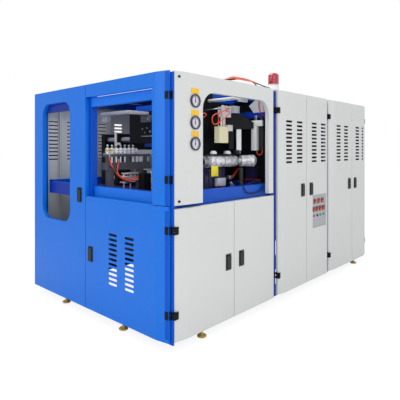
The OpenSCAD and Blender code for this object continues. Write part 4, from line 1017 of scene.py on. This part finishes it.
@dataclass
class Studio:
    """The camera, the lamps, the floor and the sky."""

    lens: float = 37.8
    shift: float = -0.1264
    eye: Point = (-3.737, -3.120, 1.443)
    turn: float = -47.29
    sky_tint: tuple[float, float, float, float] = (0.97, 0.985, 1.0, 1.0)
    sky_strength: float = 0.66
    floor_shade: float = 0.9
    floor_glow: float = 1.2
    floor_share: float = 0.72
    # Name, place, aim, size in metres and power in watts of each lamp
    lamps: tuple[tuple[str, Point, Point, float, float], ...] = (
        ("key", (-4.5, -6.0, 3.4), (-0.6, -0.6, 1.0), 6.0, 170.0),
        ("side", (-7.0, 1.5, 3.0), (-1.2, 0.2, 1.0), 4.0, 70.0),
        ("top", (-1.0, 0.2, 4.0), (-1.0, 0.2, 0.0), 2.0, 85.0),
        ("far", (5.0, -6.5, 2.6), (1.0, -0.8, 1.0), 5.0, 70.0),
    )

    def camera(self) -> None:
        """Stands the camera where the photograph was taken from."""
        data = bpy.data.cameras.new("camera")
        data.lens = self.lens
        data.shift_y = self.shift
        data.clip_end = 100.0
        camera = bpy.data.objects.new("camera", data)
        camera.location = self.eye
        camera.rotation_euler = (math.radians(90.0), 0.0, math.radians(self.turn))
        bpy.context.scene.collection.objects.link(camera)
        bpy.context.scene.camera = camera

    def lamp(self, name: str, spot: Point, aim: Point, size: float, power: float) -> None:
        """Adds one soft square lamp.

        Args:
            name: the lamp's name.
            spot, aim: where it stands and where it points, in the frame's metres.
            size: length of its side in metres.
            power: its power in watts.
        """
        data = bpy.data.lights.new(name, "AREA")
        data.size = size
        data.energy = power
        lamp = bpy.data.objects.new(name, data)
        lamp.location = spot
        lamp.rotation_euler = (Vector(aim) - Vector(spot)).to_track_quat("-Z", "Y").to_euler()
        bpy.context.scene.collection.objects.link(lamp)

    def sky(self) -> None:
        """A soft even sky that the camera and clear mouldings see as white."""
        world = bpy.data.worlds.new("studio")
        bpy.context.scene.world = world
        world.use_nodes = True
        sky = Nodes(world.node_tree)
        seen = sky.node("ShaderNodeLightPath", {}, {}, "Is Camera Ray")
        through = sky.node("ShaderNodeLightPath", {}, {}, "Is Transmission Ray")
        most = sky.node("ShaderNodeMath", {"operation": "MAXIMUM"}, {0: seen, 1: through})
        soft = sky.node("ShaderNodeBackground", {}, {"Color": self.sky_tint, "Strength": self.sky_strength})
        white = sky.node("ShaderNodeBackground", {}, {"Color": (1.0, 1.0, 1.0, 1.0), "Strength": 1.0})
        both = sky.node("ShaderNodeMixShader", {}, {0: most, 1: soft, 2: white})
        sky.node("ShaderNodeOutputWorld", {}, {"Surface": both})

    def floor(self) -> None:
        """A pale floor that keeps a faint shadow and melts into the background."""
        bm = bmesh.new()
        bmesh.ops.create_grid(bm, x_segments=1, y_segments=1, size=30.0)
        mesh = bpy.data.meshes.new("floor")
        bm.to_mesh(mesh)
        bm.free()
        floor = bpy.data.objects.new("floor", mesh)
        bpy.context.scene.collection.objects.link(floor)
        shader = Shader("floor_white")
        shade = shader.node("ShaderNodeBsdfDiffuse", {}, {"Color": (*[self.floor_shade] * 3, 1.0)})
        glow = shader.node("ShaderNodeEmission", {}, {"Color": (1.0, 1.0, 1.0, 1.0), "Strength": self.floor_glow})
        seen = shader.node("ShaderNodeLightPath", {}, {}, "Is Camera Ray")
        mesh.materials.append(shader.end(shader.node(
            "ShaderNodeMixShader", {}, {0: seen * self.floor_share, 1: shade, 2: glow})))

    def build(self) -> None:
        """Builds the studio."""
        self.camera()
        self.sky()
        self.floor()
        for lamp in self.lamps:
            self.lamp(*lamp)
        bpy.context.scene.view_settings.view_transform = "Standard"


def main() -> None:
    """Builds the studio and every sub-assembly, in order."""
    logging.basicConfig(level=logging.INFO, format="%(message)s")
    Studio().build()
    Cables().build()
    NodeFinishes().dress()
    for door in DOORS:
        door.build()
    Gauges().build()
    Controls().build()
    BlowingFittings().build()
    PreformFittings().build()
    Shell().build()
    bpy.context.view_layer.update()


if __name__ == "__main__":
    main()
